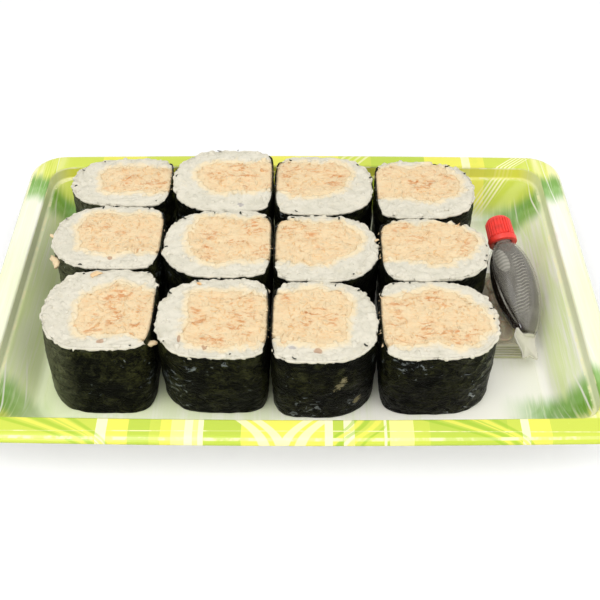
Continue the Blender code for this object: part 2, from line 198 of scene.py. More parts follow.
ROLLS = (
    Roll("front_1", -72.5, -31.3, 42.4, 42.2, 34.6, 1, 13.2, 7.0, 9.6, lean=4.5),
    Roll("front_2", -29.85, -36.2, 42.2, 41.2, 34.8, 1, 10.8, 5.0, 7.2),
    Roll("front_3", 11.6, -38.0, 39.9, 41.4, 34.8, -1, 9.8, 8.7, 4.6),
    Roll("front_4", 53.85, -37.05, 43.9, 40.3, 34.8, -1, 4.6, 7.3, 6.4),
    Roll("middle_1", -74.6, 9.35, 44.2, 38.3, 34.6, 1, 8.8, 9.3, 5.5),
    Roll("middle_2", -30.35, 4.8, 43.6, 40.0, 35.4, 1, 9.4, 8.7, 4.8),
    Roll("middle_3", 12.75, 2.7, 41.8, 39.2, 34.8, -1, 7.6, 10.7, 4.2),
    Roll("middle_4", 55.6, 2.05, 43.2, 37.1, 34.8, -1, 4.4, 10.8, 3.6),
    Roll("back_1", -73.6, 45.15, 43.0, 32.5, 34.6, 1, 10.5, 9.0, 6.2),
    Roll("back_2", -30.35, 43.8, 42.8, 37.2, 36.6, 1, 9.7, 12.0, 8.4, slope=3.8),
    Roll("back_3", 12.5, 42.35, 42.2, 39.3, 35.2, -1, 10.0, 12.6, 4.4),
    Roll("back_4", 55.1, 40.25, 42.3, 38.5, 34.8, -1, 5.6, 12.2, 4.2),
)


def ink(red, green, blue):
    """A printed colour, 0 to 255, as the linear values that a shader takes."""

    def linear(value):
        value /= 255.0
        return value / 12.92 if value <= 0.04045 else ((value + 0.055) / 1.055) ** 2.4

    return (linear(red), linear(green), linear(blue))


def colour_setting(name, description, red, green, blue):
    return FloatVectorProperty(
        name=name,
        description=description,
        subtype="COLOR",
        size=3,
        min=0.0,
        max=1.0,
        default=ink(red, green, blue),
    )


def length_setting(name, description, millimetres):
    return FloatProperty(
        name=name, description=description, unit="LENGTH", min=0.0, default=millimetres * MM
    )


# Settings


class TraySettings(PropertyGroup):
    length: length_setting("Length", "Outer length of the tray", 240.0)
    depth: length_setting("Depth", "Outer depth of the tray", 165.0)
    sheet: length_setting("Sheet", "Thickness of the formed sheet", 1.2)
    paper: colour_setting("Paper", "Bare colour of the print", 253, 251, 240)
    foam: colour_setting("Foam", "Colour of the unprinted underside", 244, 244, 238)
    lime: colour_setting("Lime", "Yellow-green of the long rims", 208, 221, 74)
    fresh: colour_setting("Fresh", "Greener blocks of the rims", 192, 213, 66)
    yellow: colour_setting("Yellow", "Bright yellow blocks of the rims", 240, 236, 88)
    pale: colour_setting("Pale", "Pale yellow blocks of the rims", 245, 242, 140)
    cream: colour_setting("Cream", "Lightest stripes and strokes", 253, 248, 196)
    fern: colour_setting("Fern", "Darker strokes across the rims", 152, 196, 22)
    leaf: colour_setting("Leaf", "Green brush strokes of the corners", 132, 182, 84)
    dark: colour_setting("Dark leaf", "Darkest brush strokes", 108, 164, 36)
    wash: colour_setting("Wash", "Pale green wash of the floor", 232, 240, 198)
    reed: colour_setting("Reed", "Yellow-green streaks of the short walls", 230, 243, 172)
    haze: colour_setting("Haze", "Pale yellow-green of the short rims", 236, 241, 200)


class SeaweedSettings(PropertyGroup):
    wrinkle: length_setting("Wrinkle", "Depth of the wrinkles", 0.5)
    ragged: length_setting("Ragged edge", "Height of the upper edge's tears", 0.7)
    dark: colour_setting("Dark", "Colour of the sheet in the shade", 9, 10, 5)
    green: colour_setting("Green", "Colour where the sheet is thin", 84, 86, 46)
    # Painted highlight colour laid on the glint spots
    oil: colour_setting("Oil", "Colour of its wet glints", 196, 208, 212)
    # Also the colour of the painted light on the left edges of the leftmost rolls
    fold: colour_setting("Fold", "Colour of the lighter folds", 112, 114, 86)
    torn: colour_setting("Torn", "Colour of the pale tears", 176, 165, 126)


class RiceSettings(PropertyGroup):
    grain: length_setting("Grain", "Length of a grain", 5.4)
    spacing: length_setting("Spacing", "Least distance between grains", 3.0)
    seed: IntProperty(name="Seed", description="Seed of the scattered grains", default=7)
    white: colour_setting("White", "Colour of the rice", 221, 215, 197)
    grey: colour_setting("Grey", "Colour of its translucent parts", 206, 201, 182)
    dressing: colour_setting("Dressing", "Stain where the filling is near", 237, 216, 174)
    # Grey-mauve patches on the rice near where neighbouring rolls meet
    bruise: colour_setting("Bruise", "Colour where the rice took up some seaweed", 156, 150, 154)
    speck: colour_setting("Speck", "Colour of the few brown specks", 176, 136, 104)


class TunaSettings(PropertyGroup):
    shred: length_setting("Shred", "Length of a shred of fish", 4.4)
    spacing: length_setting("Spacing", "Least distance between shreds", 1.5)
    seed: IntProperty(name="Seed", description="Seed of the scattered shreds", default=21)
    cream: colour_setting("Cream", "Colour of the dressing", 235, 211, 169)
    peach: colour_setting("Peach", "Colour of the fish", 235, 194, 140)
    brown: colour_setting("Brown", "Colour of the darkest shreds", 210, 138, 74)


class BottleSettings(PropertyGroup):
    ribs: IntProperty(name="Ribs", description="Ribs round the cap", default=26, min=8)
    # The wall colour is painted light on the bottle's upper face, and the shade colour is painted
    # shade on its lower side
    wall: colour_setting("Wall", "Colour of the milky plastic", 162, 158, 146)
    shade: colour_setting("Shade", "Colour of the plastic on its dark side", 66, 60, 52)
    glass: colour_setting("Glass", "Colour where no sauce is behind", 226, 222, 205)
    sauce: colour_setting("Sauce", "Colour of the soy sauce", 34, 22, 14)
    red: colour_setting("Cap", "Colour of the cap", 250, 66, 54)


class SachetSettings(PropertyGroup):
    crimps: IntProperty(name="Crimps", description="Ridges across each seal", default=4, min=2)
    slices: IntProperty(name="Slices", description="Slices of ginger inside", default=9, min=1)
    film: colour_setting("Film", "Colour of the film", 240, 236, 216)
    # The seam colour is painted shade in the grooves of the crimps
    seam: colour_setting("Seam", "Colour in the grooves of the seals", 206, 206, 158)
    ginger: colour_setting("Ginger", "Colour of the ginger", 244, 208, 178)


class StageSettings(PropertyGroup):
    floor: colour_setting("Floor", "Colour of the floor", 253, 253, 253)


class SushiSettings(PropertyGroup):
    tray: PointerProperty(type=TraySettings)
    seaweed: PointerProperty(type=SeaweedSettings)
    rice: PointerProperty(type=RiceSettings)
    tuna: PointerProperty(type=TunaSettings)
    bottle: PointerProperty(type=BottleSettings)
    sachet: PointerProperty(type=SachetSettings)
    stage: PointerProperty(type=StageSettings)


# Shaders


class Wire:
    """A number in a material's nodes. Sums and products of it add the nodes for them."""

    def __init__(self, paint, socket):
        self.paint = paint
        self.socket = socket

    def math(self, operation, *others):
        return self.paint.math(operation, self, *others)

    def __add__(self, other):
        return self.math("ADD", other)

    __radd__ = __add__

    def __mul__(self, other):
        return self.math("MULTIPLY", other)

    __rmul__ = __mul__

    def __sub__(self, other):
        return self.math("SUBTRACT", other)

    def __rsub__(self, other):
        return self.paint.math("SUBTRACT", other, self)

    def __truediv__(self, other):
        return self.math("DIVIDE", other)

    def __neg__(self):
        return self.math("MULTIPLY", -1.0)

    def __lt__(self, other):
        return self.math("LESS_THAN", other)

    def __abs__(self):
        return self.math("ABSOLUTE")

    def most(self, other):
        return self.math("MAXIMUM", other)

    def sin(self):
        return self.math("SINE")

    def fraction(self):
        return self.math("FRACT")

    def rise(self, low, high):
        """0 below low, 1 above high and smooth between. Falls where low is above high."""
        if low > high:
            return 1.0 - self.rise(high, low)
        settings = {"interpolation_type": "SMOOTHSTEP"}
        return self.paint.node(
            "ShaderNodeMapRange", settings, {"Value": self, "From Min": low, "From Max": high}
        )

    def band(self, middle, half, soft):
        """1 within half of middle, falling to 0 over soft."""
        return abs(self - middle).rise(half + soft, half)

    def bands(self, first, *others):
        """1 within any of several bands, each given as its middle, half and soft."""
        whole = self.band(*first)
        for other in others:
            whole = whole.most(self.band(*other))
        return whole


class Paint:
    """The nodes of one material."""

    def __init__(self, name, **constants):
        self.material = bpy.data.materials.new(name)
        self.material.use_nodes = True
        self.tree = self.material.node_tree
        self.shader = self.tree.nodes["Principled BSDF"]
        for socket, value in constants.items():
            self.shader.inputs[socket.replace("_", " ")].default_value = value

    def plug(self, socket, value):
        if isinstance(value, Wire):
            self.tree.links.new(value.socket, socket)
        elif hasattr(value, "__len__"):
            socket.default_value = (*value, 1.0)[: len(socket.default_value)]
        else:
            socket.default_value = value

    def node(self, kind, settings=None, inputs=None, output=0):
        """Adds a node, its settings and a ramp's stops first, and returns its output or outputs."""
        made = self.tree.nodes.new(kind)
        settings = dict(settings or {})
        stops = settings.pop("stops", ())
        for setting, value in settings.items():
            setattr(made, setting, value)
        if stops:
            ramp = made.color_ramp
            ramp.interpolation = "CONSTANT"
            ramp.elements[-1].position = stops[-1][0]
            for place, colour in stops[1:-1]:
                ramp.elements.new(place).color = (*colour, 1.0)
            ramp.elements[0].color = (*stops[0][1], 1.0)
            ramp.elements[-1].color = (*stops[-1][1], 1.0)
        for socket, value in (inputs or {}).items():
            self.plug(made.inputs[socket], value)
        if isinstance(output, tuple):
            return tuple(Wire(self, made.outputs[one]) for one in output)
        return Wire(self, made.outputs[output])

    def math(self, operation, *values):
        return self.node("ShaderNodeMath", {"operation": operation}, dict(enumerate(values)))

    @cached_property
    def here(self):
        """The surface's place in millimetres."""
        return self.scaled(self.node("ShaderNodeTexCoord", output="Object"), (1.0 / MM,) * 3)

    def split(self, vector):
        """X, Y and Z of a vector."""
        return self.node("ShaderNodeSeparateXYZ", inputs={0: vector}, output=(0, 1, 2))

    def scaled(self, vector, sizes):
        inputs = {0: vector, 1: sizes}
        return self.node("ShaderNodeVectorMath", {"operation": "MULTIPLY"}, inputs)

    def noise(self, size, detail=2.0, rough=0.5, warp=0.0, at=None):
        """Noise from 0 to 1 whose patches are about size millimetres across."""
        inputs = {
            "Vector": self.here if at is None else at,
            "Scale": 1.0 / size,
            "Detail": detail,
            "Roughness": rough,
            "Distortion": warp,
        }
        return self.node("ShaderNodeTexNoise", inputs=inputs)

    def cells(self, size):
        """Distance to the nearest of scattered points, about size millimetres apart."""
        return self.node("ShaderNodeTexVoronoi", inputs={"Vector": self.here, "Scale": 1.0 / size})

    def mix(self, share, low, high):
        """A colour between low and high."""
        inputs = {0: share, 6: low, 7: high}
        return self.node("ShaderNodeMix", {"data_type": "RGBA"}, inputs, output=2)

    def over(self, colour, *layers):
        """The colour under layers, each given as its share and its own colour."""
        for share, layer in layers:
            colour = self.mix(share, colour, layer)
        return colour

    def stripes(self, along, starts):
        """Stripes of colour, each from its place along in millimetres to the next."""
        low = starts[0][0]
        length = STRIPES_END - low
        stops = [((place - low) / length, colour) for place, colour in starts]
        return self.node("ShaderNodeValToRGB", {"stops": stops}, {"Fac": (along - low) / length})

    def streaks(self, x, y, across, along, detail, rough=0.6):
        """Noise from 0 to 1 whose patches are about across by along millimetres."""
        at = self.node("ShaderNodeCombineXYZ", inputs={0: x / across, 1: y / along})
        return self.noise(1.0, detail, rough, at=at)

    def attribute(self, name, output="Fac"):
        return self.node("ShaderNodeAttribute", {"attribute_name": name}, output=output)

    def bump(self, height, distance, strength=1.0, after=None):
        """A Normal from a height of 0 to 1 that stands distance metres high."""
        inputs = {"Height": height, "Distance": distance, "Strength": strength}
        if after is not None:
            inputs["Normal"] = after
        return self.node("ShaderNodeBump", inputs=inputs)

    def finish(self, **inputs):
        for socket, value in inputs.items():
            self.plug(self.shader.inputs[socket.replace("_", " ")], value)
        return self.material


# Meshes


def in_scene(name, data):
    """A new object at the origin."""
    made = bpy.data.objects.new(name, data)
    bpy.context.scene.collection.objects.link(made)
    return made


def new_piece(name, points, faces, material, smooth=True, attributes=None, facing="out"):
    """A mesh object at the origin, from points in metres and faces that look out or up."""
    mesh = bpy.data.meshes.new(name)
    mesh.from_pydata([tuple(point) for point in points], [], [tuple(face) for face in faces])
    for key, values in (attributes or {}).items():
        values = np.asarray(values, np.float32)
        kind = "FLOAT_VECTOR" if values.ndim == 2 else "FLOAT"
        layer = mesh.attributes.new(key, kind, "POINT")
        layer.data.foreach_set("vector" if values.ndim == 2 else "value", values.ravel())
    turn_faces(mesh, facing)
    if smooth:
        mesh.shade_smooth()
    if material:
        mesh.materials.append(material)
    return in_scene(name, mesh)


def turn_faces(mesh, facing):
    shape = bmesh.new()
    shape.from_mesh(mesh)
    if facing == "out":
        bmesh.ops.recalc_face_normals(shape, faces=shape.faces)
    else:
        shape.normal_update()
        downward = [face for face in shape.faces if face.normal.z < 0.0]
        bmesh.ops.reverse_faces(shape, faces=downward)
    shape.to_mesh(mesh)
    shape.free()


def xyz(x, y, z):
    """Points from coordinates that are numbers or arrays."""
    return np.stack(np.broadcast_arrays(x, y, z), axis=-1)


def circle(count):
    return np.arange(count) / count * math.tau


def turned(x, y, angle):
    """X and Y turned anticlockwise."""
    return x * np.cos(angle) - y * np.sin(angle), x * np.sin(angle) + y * np.cos(angle)


def grid_faces(rows, columns, start=0, wrap_rows=False):
    """Quads of a grid of points that is stored row by row, each row a closed ring."""
    faces = []
    for i in range(rows if wrap_rows else rows - 1):
        near = start + i * columns
        far = start + (i + 1) % rows * columns
        for j in range(columns):
            k = (j + 1) % columns
            faces.append((near + j, near + k, far + k, far + j))
    return faces


class Shape:
    """Gathers the points, faces and attributes of one piece from several parts."""

    def __init__(self):
        self.points = []
        self.faces = []
        self.marks = {}

    def add_grid(self, rows, wrap_rows=False, caps=(), **marks):
        """rows is an array of rings of points. caps may hold "first" and "last"."""
        rows = np.asarray(rows, float)
        start = len(self.points)
        count, columns = rows.shape[:2]
        self.points.extend(rows.reshape(-1, 3))
        self.faces.extend(grid_faces(count, columns, start, wrap_rows))
        for end, row in (("first", 0), ("last", count - 1)):
            if end in caps:
                middle = len(self.points)
                self.points.append(rows[row].mean(axis=0))
                first = start + row * columns
                for j in range(columns):
                    self.faces.append((first + j, first + (j + 1) % columns, middle))
        added = len(self.points) - start
        for key, values in marks.items():
            values = np.broadcast_to(np.asarray(values, float), rows.shape[:2]).ravel()
            values = np.concatenate([values, np.full(added - len(values), values[-1])])
            self.marks.setdefault(key, []).append(values)

    def closed(self, rings, **marks):
        """Adds rings of points with both ends closed, and returns the whole shape."""
        self.add_grid(rings, caps=("first", "last"), **marks)
        return self

    def piece(self, name, material, smooth=True, facing="out"):
        marks = {key: np.concatenate(values) for key, values in self.marks.items()}
        return new_piece(name, self.points, self.faces, material, smooth, marks, facing)


def rolling_noise(points, size, seed=0.0):
    """Smooth noise from -1 to 1 at each point, with patches about size metres across."""
    shift = Vector((seed * 7.31, seed * 3.17, seed * 5.93))
    flat = np.asarray(points, float).reshape(-1, 3) / size
    return np.array([noise.noise(Vector(point) + shift) for point in flat])


def smooth_through(x, places, values):
    """Values at x on a smooth line through the given places."""
    places = np.asarray(places, float)
    values = np.asarray(values, float)
    slopes = np.gradient(values, places)
    steps = np.diff(values) / np.diff(places)
    for i, step in enumerate(steps):
        limit = 3.0 * abs(step)
        slopes[i] = np.clip(slopes[i], -limit, limit)
        slopes[i + 1] = np.clip(slopes[i + 1], -limit, limit)
    i = np.clip(np.searchsorted(places, x) - 1, 0, len(steps) - 1)
    span = places[i + 1] - places[i]
    t = (x - places[i]) / span
    near = (1 + 2 * t) * (1 - t) ** 2 * values[i] + t * (1 - t) ** 2 * span * slopes[i]
    far = t**2 * (3 - 2 * t) * values[i + 1] + t**2 * (t - 1) * span * slopes[i + 1]
    return near + far


def rounded_corners(profile, share=0.4, steps=5):
    """The profile with each inner corner cut back by share of its shorter side and rounded."""
    points = np.asarray(profile, float)
    made = [points[0]]
    for before, corner, after in zip(points, points[1:], points[2:]):
        near = np.linalg.norm((corner - before)[:2])
        far = np.linalg.norm((after - corner)[:2])
        cut = share * min(near, far)
        start = corner + (before - corner) * cut / near
        end = corner + (after - corner) * cut / far
        for t in np.linspace(0.0, 1.0, steps):
            made.append((1 - t) ** 2 * start + 2 * t * (1 - t) * corner + t**2 * end)
    made.append(points[-1])
    return np.array(made)


# Geometry Nodes


class Tree:
    """A Geometry Nodes tree with named inputs."""

    def __init__(self, name, **inputs):
        """inputs gives the labels of the inputs of each kind, geometry first."""
        self.group = bpy.data.node_groups.new(name, "GeometryNodeTree")
        self.group.is_modifier = True
        for kind, labels in inputs.items():
            for label in labels:
                self.socket(label, "INPUT", kind)
        self.socket("Pieces", "OUTPUT", "Geometry")
        self.given = self.group.nodes.new("NodeGroupInput").outputs

    def socket(self, label, way, kind):
        interface = self.group.interface
        interface.new_socket(label, in_out=way, socket_type=f"NodeSocket{kind}")

    def node(self, kind, inputs=None, output=0, **settings):
        """Adds a node and returns one of its outputs, or all where output is None."""
        made = self.group.nodes.new(kind)
        for setting, value in settings.items():
            setattr(made, setting, value)
        for socket, value in (inputs or {}).items():
            if isinstance(value, bpy.types.NodeSocket):
                self.group.links.new(value, made.inputs[socket])
            else:
                made.inputs[socket].default_value = value
        return made.outputs if output is None else made.outputs[output]

    def math(self, operation, first, second=0.0):
        return self.node("ShaderNodeMath", {0: first, 1: second}, operation=operation)

    def random(self, low, high, seed):
        inputs = {2: low, 3: high, "Seed": seed}
        return self.node("FunctionNodeRandomValue", inputs, 1, data_type="FLOAT")

    def rotation(self, x=0.0, y=0.0, z=0.0):
        turns = self.node("ShaderNodeCombineXYZ", {0: x, 1: y, 2: z})
        return self.node("FunctionNodeEulerToRotation", {"Euler": turns})

    def finish(self, geometry, material):
        real = self.node("GeometryNodeRealizeInstances", {"Geometry": geometry})
        painted = self.node("GeometryNodeSetMaterial", {"Geometry": real, "Material": material})
        self.node("NodeGroupOutput", {0: painted}, None)
        return self.group


def grow(base, group, name, **values):
    """Runs a tree on a mesh object and returns the result as a plain piece."""
    modifier = base.modifiers.new("grow", "NODES")
    modifier.node_group = group
    for item in group.interface.items_tree:
        if item.in_out == "INPUT" and item.name in values:
            modifier[item.identifier] = values[item.name]
    evaluated = base.evaluated_get(bpy.context.evaluated_depsgraph_get())
    mesh = bpy.data.meshes.new_from_object(evaluated)
    mesh.name = name
    base.modifiers.remove(modifier)
    piece = in_scene(name, mesh)
    bpy.data.objects.remove(base)
    return piece


def scatter_tree():
    """Scatters small shapes over a bed, lying along it and partly sunk into it."""
    tree = Tree(
        "Scatter small shapes",
        Geometry=("Bed",),
        Collection=("Shapes",),
        Int=("Seed",),
        Float=("Spacing", "Smallest", "Largest", "Tilt", "Sink", "Swirl", "Whorl"),
        Material=("Material",),
    )
    given = tree.given
    spread = tree.node(
        "GeometryNodeDistributePointsOnFaces",
        {
            "Mesh": given["Bed"],
            "Distance Min": given["Spacing"],
            "Density Max": MOST_POINTS,
            "Seed": given["Seed"],
        },
        None,
        distribute_method="POISSON",
    )
    sunk = tree.math("MULTIPLY", given["Sink"], tree.random(0.7, 1.0, 11))
    lift = {0: spread["Normal"], "Scale": tree.math("MULTIPLY", sunk, -1.0)}
    down = tree.node("ShaderNodeVectorMath", lift, operation="SCALE")
    points = tree.node("GeometryNodeSetPosition", {"Geometry": spread["Points"], "Offset": down})

    # Neighbours turn alike, and each shape also turns at random as far as Swirl leaves free
    where = tree.node("GeometryNodeInputPosition")
    frequency = tree.math("DIVIDE", 1.0, given["Whorl"])
    swirl = tree.node("ShaderNodeTexNoise", {"Vector": where, "Scale": frequency})
    flow = tree.math("MULTIPLY", tree.math("SUBTRACT", swirl, 0.5), 4.0 * math.pi)
    free = tree.math("SUBTRACT", 1.0, given["Swirl"])
    loose = tree.math("MULTIPLY", tree.random(-math.pi, math.pi, 5), free)
    turn = tree.math("ADD", flow, loose)
    tip = tree.math("MULTIPLY", given["Tilt"], tree.random(-1.0, 1.0, 3))
    roll = tree.math("MULTIPLY", given["Tilt"], tree.random(-1.0, 1.0, 4))
    turns = {"Rotation": spread["Rotation"], "Rotate By": tree.rotation(roll, tip, turn)}
    rotation = tree.node("FunctionNodeRotateRotation", turns, rotation_space="LOCAL")
    shapes = tree.node(
        "GeometryNodeCollectionInfo",
        {"Collection": given["Shapes"], "Separate Children": True, "Reset Children": True},
    )
    placed = tree.node(
        "GeometryNodeInstanceOnPoints",
        {
            "Points": points,
            "Instance": shapes,
            "Pick Instance": True,
            "Rotation": rotation,
            "Scale": tree.random(given["Smallest"], given["Largest"], 0),
        },
    )
    shaded = tree.node(
        "GeometryNodeStoreNamedAttribute",
        {"Geometry": placed, "Name": "shade", "Value": tree.random(0.0, 1.0, 8)},
        data_type="FLOAT",
        domain="INSTANCE",
    )
    return tree.finish(shaded, given["Material"])


def ring_tree():
    """Sets copies of one shape evenly round the Y axis."""
    tree = Tree(
        "Ribs round a cap",
        Geometry=("Body",),
        Object=("Rib",),
        Int=("Count",),
        Float=("Radius",),
        Material=("Material",),
    )
    given = tree.given
    sizes = {"Vertices": given["Count"], "Radius": given["Radius"]}
    ring = tree.node("GeometryNodeMeshCircle", sizes)
    points = tree.node("GeometryNodeMeshToPoints", {"Mesh": ring})
    standing = {"Geometry": points, "Rotation": (math.pi / 2, 0.0, 0.0)}
    upright = tree.node("GeometryNodeTransform", standing)
    share = tree.math("DIVIDE", tree.node("GeometryNodeInputIndex"), given["Count"])
    rotation = tree.rotation(y=tree.math("MULTIPLY", share, -math.tau))
    rib = tree.node("GeometryNodeObjectInfo", {"Object": given["Rib"]}, "Geometry")
    copies = {"Points": upright, "Instance": rib, "Rotation": rotation}
    ribs = tree.node("GeometryNodeInstanceOnPoints", copies)
    joined = tree.group.nodes.new("GeometryNodeJoinGeometry")
    for part in (ribs, given["Body"]):
        tree.group.links.new(part, joined.inputs[0])
    return tree.finish(joined.outputs[0], given["Material"])


# Tray


def tray_ring(length, depth, inset, height, radius):
    """A rounded rectangle, anticlockwise from above, whose long sides bow out a little."""
    half_x = length / 2 - inset
    half_y = depth / 2 - inset
    points = []
    for side_x, side_y, start in ((1, 1, 0), (-1, 1, 90), (-1, -1, 180), (1, -1, 270)):
        centre_x = side_x * (half_x - radius)
        centre_y = side_y * (half_y - radius)
        for angle in np.radians(np.linspace(start, start + 90, 15)):
            x = centre_x + radius * math.cos(angle)
            points.append((x, centre_y + radius * math.sin(angle), height))
        if side_x == side_y:
            for along in np.linspace(0.0, 1.0, 26)[1:-1]:
                x = centre_x - side_x * 2 * (half_x - radius) * along
                y = side_y * (half_y + LONG_SIDE_BOW * math.sin(math.pi * along))
                points.append((x, y, height))
        else:
            for along in np.linspace(0.0, 1.0, 18)[1:-1]:
                y = centre_y - side_y * 2 * (half_y - radius) * along
                points.append((side_x * half_x, y, height))
    return points


def rim_stripes(paint, x, stripes, settings):
    return paint.stripes(x, [(place, getattr(settings, name)[:]) for place, name in stripes])


def front_rim(paint, x, y, settings):
    """Stripes with fanned leaf strokes and a pale crossing of arcs."""
    out = (-y - 73.0) / 9.2
    bow = (out * math.pi).sin()

    # The fan of strokes stands twice, the second time 148 millimetres along
    shifted = x + (x < -20.0) * 148.0
    fan = (shifted - out * 49.8) / (1.0 - out * 0.53)
    zone = shifted.rise(40.5, 42.5) * shifted.rise(85.0, 83.0)
    green = fan.bands((69.5, 0.6, 1.6), (57.0, 1.0, 2.6), (44.5, 1.0, 2.4))
    light = fan.bands((65.4, 0.9, 1.5), (51.5, 1.2, 1.8), (61.6, 0.3, 0.7))

    # Arcs that cross left of the middle, and slanted strokes right of them
    beside = abs(x + 3.5)
    arms = beside - (1.0 - out) * 9.0 + bow * 0.8
    pale = arms.bands((1.6, 1.5, 0.5), (7.2, 1.6, 0.6)) * beside.rise(19.0, 17.0)
    slant = x + out * 9.0 - bow * 1.2
    block = x.rise(13.6, 14.6) * x.rise(33.0, 32.0)
    stroke = slant.bands((22.4, 0.5, 0.6), (27.0, 0.6, 0.8), (35.0, 0.3, 0.6))
    sheen = slant.bands((24.6, 0.7, 0.7), (31.0, 0.8, 0.9))
    return paint.over(
        rim_stripes(paint, x, FRONT_STRIPES, settings),
        (green * zone * 0.55, settings.fern),
        (light * zone * 0.8, settings.yellow),
        (pale * 0.8, settings.cream),
        (stroke * block * 0.6, settings.fern),
        (sheen * block * 0.8, settings.yellow),
    )


def back_rim(paint, x, y, settings):
    """Stripes with thin pale strokes that lean to the left."""
    lean = x - (y - 80.0) * 1.24
    hair = ((lean + y * 0.12) / 1.9).fraction().band(0.5, 0.16, 0.16)
    strokes = hair * lean.rise(98.5, 100.0) * lean.rise(109.0, 107.0)
    other = x - (y - 80.0) * 0.8
    arcs = (other / 3.4).fraction().band(0.5, 0.14, 0.12) * other.band(27.0, 7.0, 0.6)
    fade = paint.noise(9.0, 3.0)
    return paint.over(
        rim_stripes(paint, x, BACK_STRIPES, settings),
        (strokes.most(arcs * 0.7) * 0.9, settings.cream),
        (fade.rise(0.45, 0.8) * 0.5, settings.lime),
    )


def tray_paint(settings):
    paint = Paint("printed_tray", Specular_IOR_Level=0.5)
    x, y, z = paint.split(paint.here)
    across, along = abs(x), abs(y)
    left = x.rise(0.0, -1.0)
    lines = paint.streaks(x, y, 0.9, 38.0, 4.0)
    broad = paint.streaks(x, y, 6.0, 70.0, 2.0)
    soft = paint.noise(26.0, 2.0)
    mottle = lines * 0.5 + broad * 0.5
    sweep = x + y * 0.1 + (y / 34.0).sin() * 4.0
    hair = (sweep / 6.3).fraction().band(0.5, 0.02, 0.03) * broad.rise(0.45, 0.6)

    # Floor, short walls and short rims
    white = (broad * 0.5 + lines * 0.4 + soft * 0.4 + x * 0.0028 - y * 0.001).rise(0.45, 0.9)
    wall = across.rise(97.0, 103.0) * across.rise(110.2, 109.6)
    lip = across.rise(109.4, 110.2)
    threads = paint.streaks(x, y, 0.45, 46.0, 2.0).rise(0.56, 0.68)
    streaked = paint.over(
        settings.reed,
        (mottle.rise(0.4, 0.65) * (1.0 - left * 0.6), settings.paper),
        (threads * (0.7 - left * 0.2), settings.paper),
    )
    worn = mottle.rise(0.35, 0.65) * 0.5 + y.rise(-5.0, 30.0) * 0.4
    flange = paint.mix(worn, settings.haze, settings.paper)
    blush = paint.noise(10.0, 2.0).rise(0.5, 0.75)
    blush = blush * x.rise(96.0, 106.0) * y.band(14.0, 8.0, 12.0)
    colour = paint.over(
        settings.wash,
        (white, settings.paper),
        (wall * 0.9, streaked),
        (lip * 0.95, flange),
        (blush * 0.5, BLUSH),
    )

    # Brush strokes of the corners
    brushed = along + (lines - 0.5) * 7.0 + (broad - 0.5) * 12.0
    side = (across - left * y.rise(0.0, -1.0) * 12.0).rise(76.0, 98.0)
    deep = (brushed.rise(53.0, 60.0) * across.rise(94.0, 104.0) + (lines - 0.5)).rise(0.35, 0.9)
    green = paint.over(
        settings.leaf,
        (deep, settings.dark),
        (lines.rise(0.5, 0.72) * 0.55, settings.wash),
    )
    corner = paint.over(
        settings.cream,
        (broad.rise(0.35, 0.6), settings.lime),
        (lines.rise(0.4, 0.6) * 0.5, settings.pale),
    )
    colour = paint.over(
        colour,
        (brushed.rise(45.0, 54.0) * side * 0.92, green),
        (brushed.rise(61.0, 69.0) * side, corner),
        (hair * along.rise(28.0, 44.0) * across.rise(86.0, 96.0) * 0.8, settings.paper),
    )

    # Long rims, the step below them and painted highlight lines along the edges
    rear = y.rise(59.0, 66.0) * across.rise(112.0, 101.0)
    near = (-y).rise(72.3, 73.3)
    # The step's riser is painted lighter to lift the shade that falls on it
    riser = z.band(17.7, 2.2, 0.5) * (1.0 - near)
    # Painted highlight lines, broken into dashes, along the rim's edges and the middle of the front
    # rim
    edge = z.bands((20.25, 0.2, 0.2), (15.25, 0.2, 0.25)).most(y.band(-79.0, 0.12, 0.18))
    dashes = paint.streaks(x, y, 9.0, 9.0, 3.0, 0.7).rise(0.45, 0.6)
    colour = paint.over(
        colour,
        (rear, back_rim(paint, x, y, settings)),
        (near, front_rim(paint, x, y, settings)),
        (riser * 0.8, paint.mix(rear, settings.haze, settings.yellow)),
        (edge * (0.2 + dashes * 0.6), settings.cream),
    )
    grain = paint.noise(1.1, 3.0)
    return paint.finish(
        Base_Color=colour,
        Roughness=0.2 + grain * 0.1,
        Normal=paint.bump(grain, 0.00006, 0.5),
    )


def foam_paint(settings):
    paint = Paint("white_foam", Roughness=0.55)
    beads = paint.cells(1.6)
    darker = tuple(0.93 * part for part in settings.foam)
    return paint.finish(
        Base_Color=paint.mix(beads.rise(0.2, 0.7), darker, settings.foam),
        Normal=paint.bump(beads, 0.0001, 0.5),
    )


class SUSHI_OT_tray(Operator):
    """Forms the printed tray"""

    bl_idname = "sushi.tray"
    bl_label = "Tray"

    def execute(self, context):
        settings = context.scene.sushi.tray
        profile = rounded_corners(TRAY_PROFILE) * MM
        rings = np.array([tray_ring(settings.length, settings.depth, *place) for place in profile])
        inner = rings[-1:]
        middle = inner.mean(axis=1, keepdims=True)
        floor = [middle + (inner - middle) * share for share in (0.8, 0.55, 0.3, 0.1)]
        shape = Shape()
        shape.add_grid(np.concatenate([rings, *floor]), caps=("last",))
        tray = shape.piece("tray_sheet", tray_paint(settings))
        tray.data.materials.append(foam_paint(settings))
        sheet = tray.modifiers.new("sheet", "SOLIDIFY")
        sheet.thickness = settings.sheet
        sheet.offset = -1.0
        sheet.use_even_offset = True
        sheet.material_offset = 1
        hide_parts("tray")
        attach(tray, "root")
        return {"FINISHED"}


# Rolls


def signed_power(value, power):
    return np.sign(value) * np.abs(value) ** power


def rounded_share(turns):
    """0 on the flat side, where the neighbour presses, and 1 round the rest of a roll."""
    return np.clip((0.93 - np.cos(turns)) / 0.25, 0.0, 1.0)


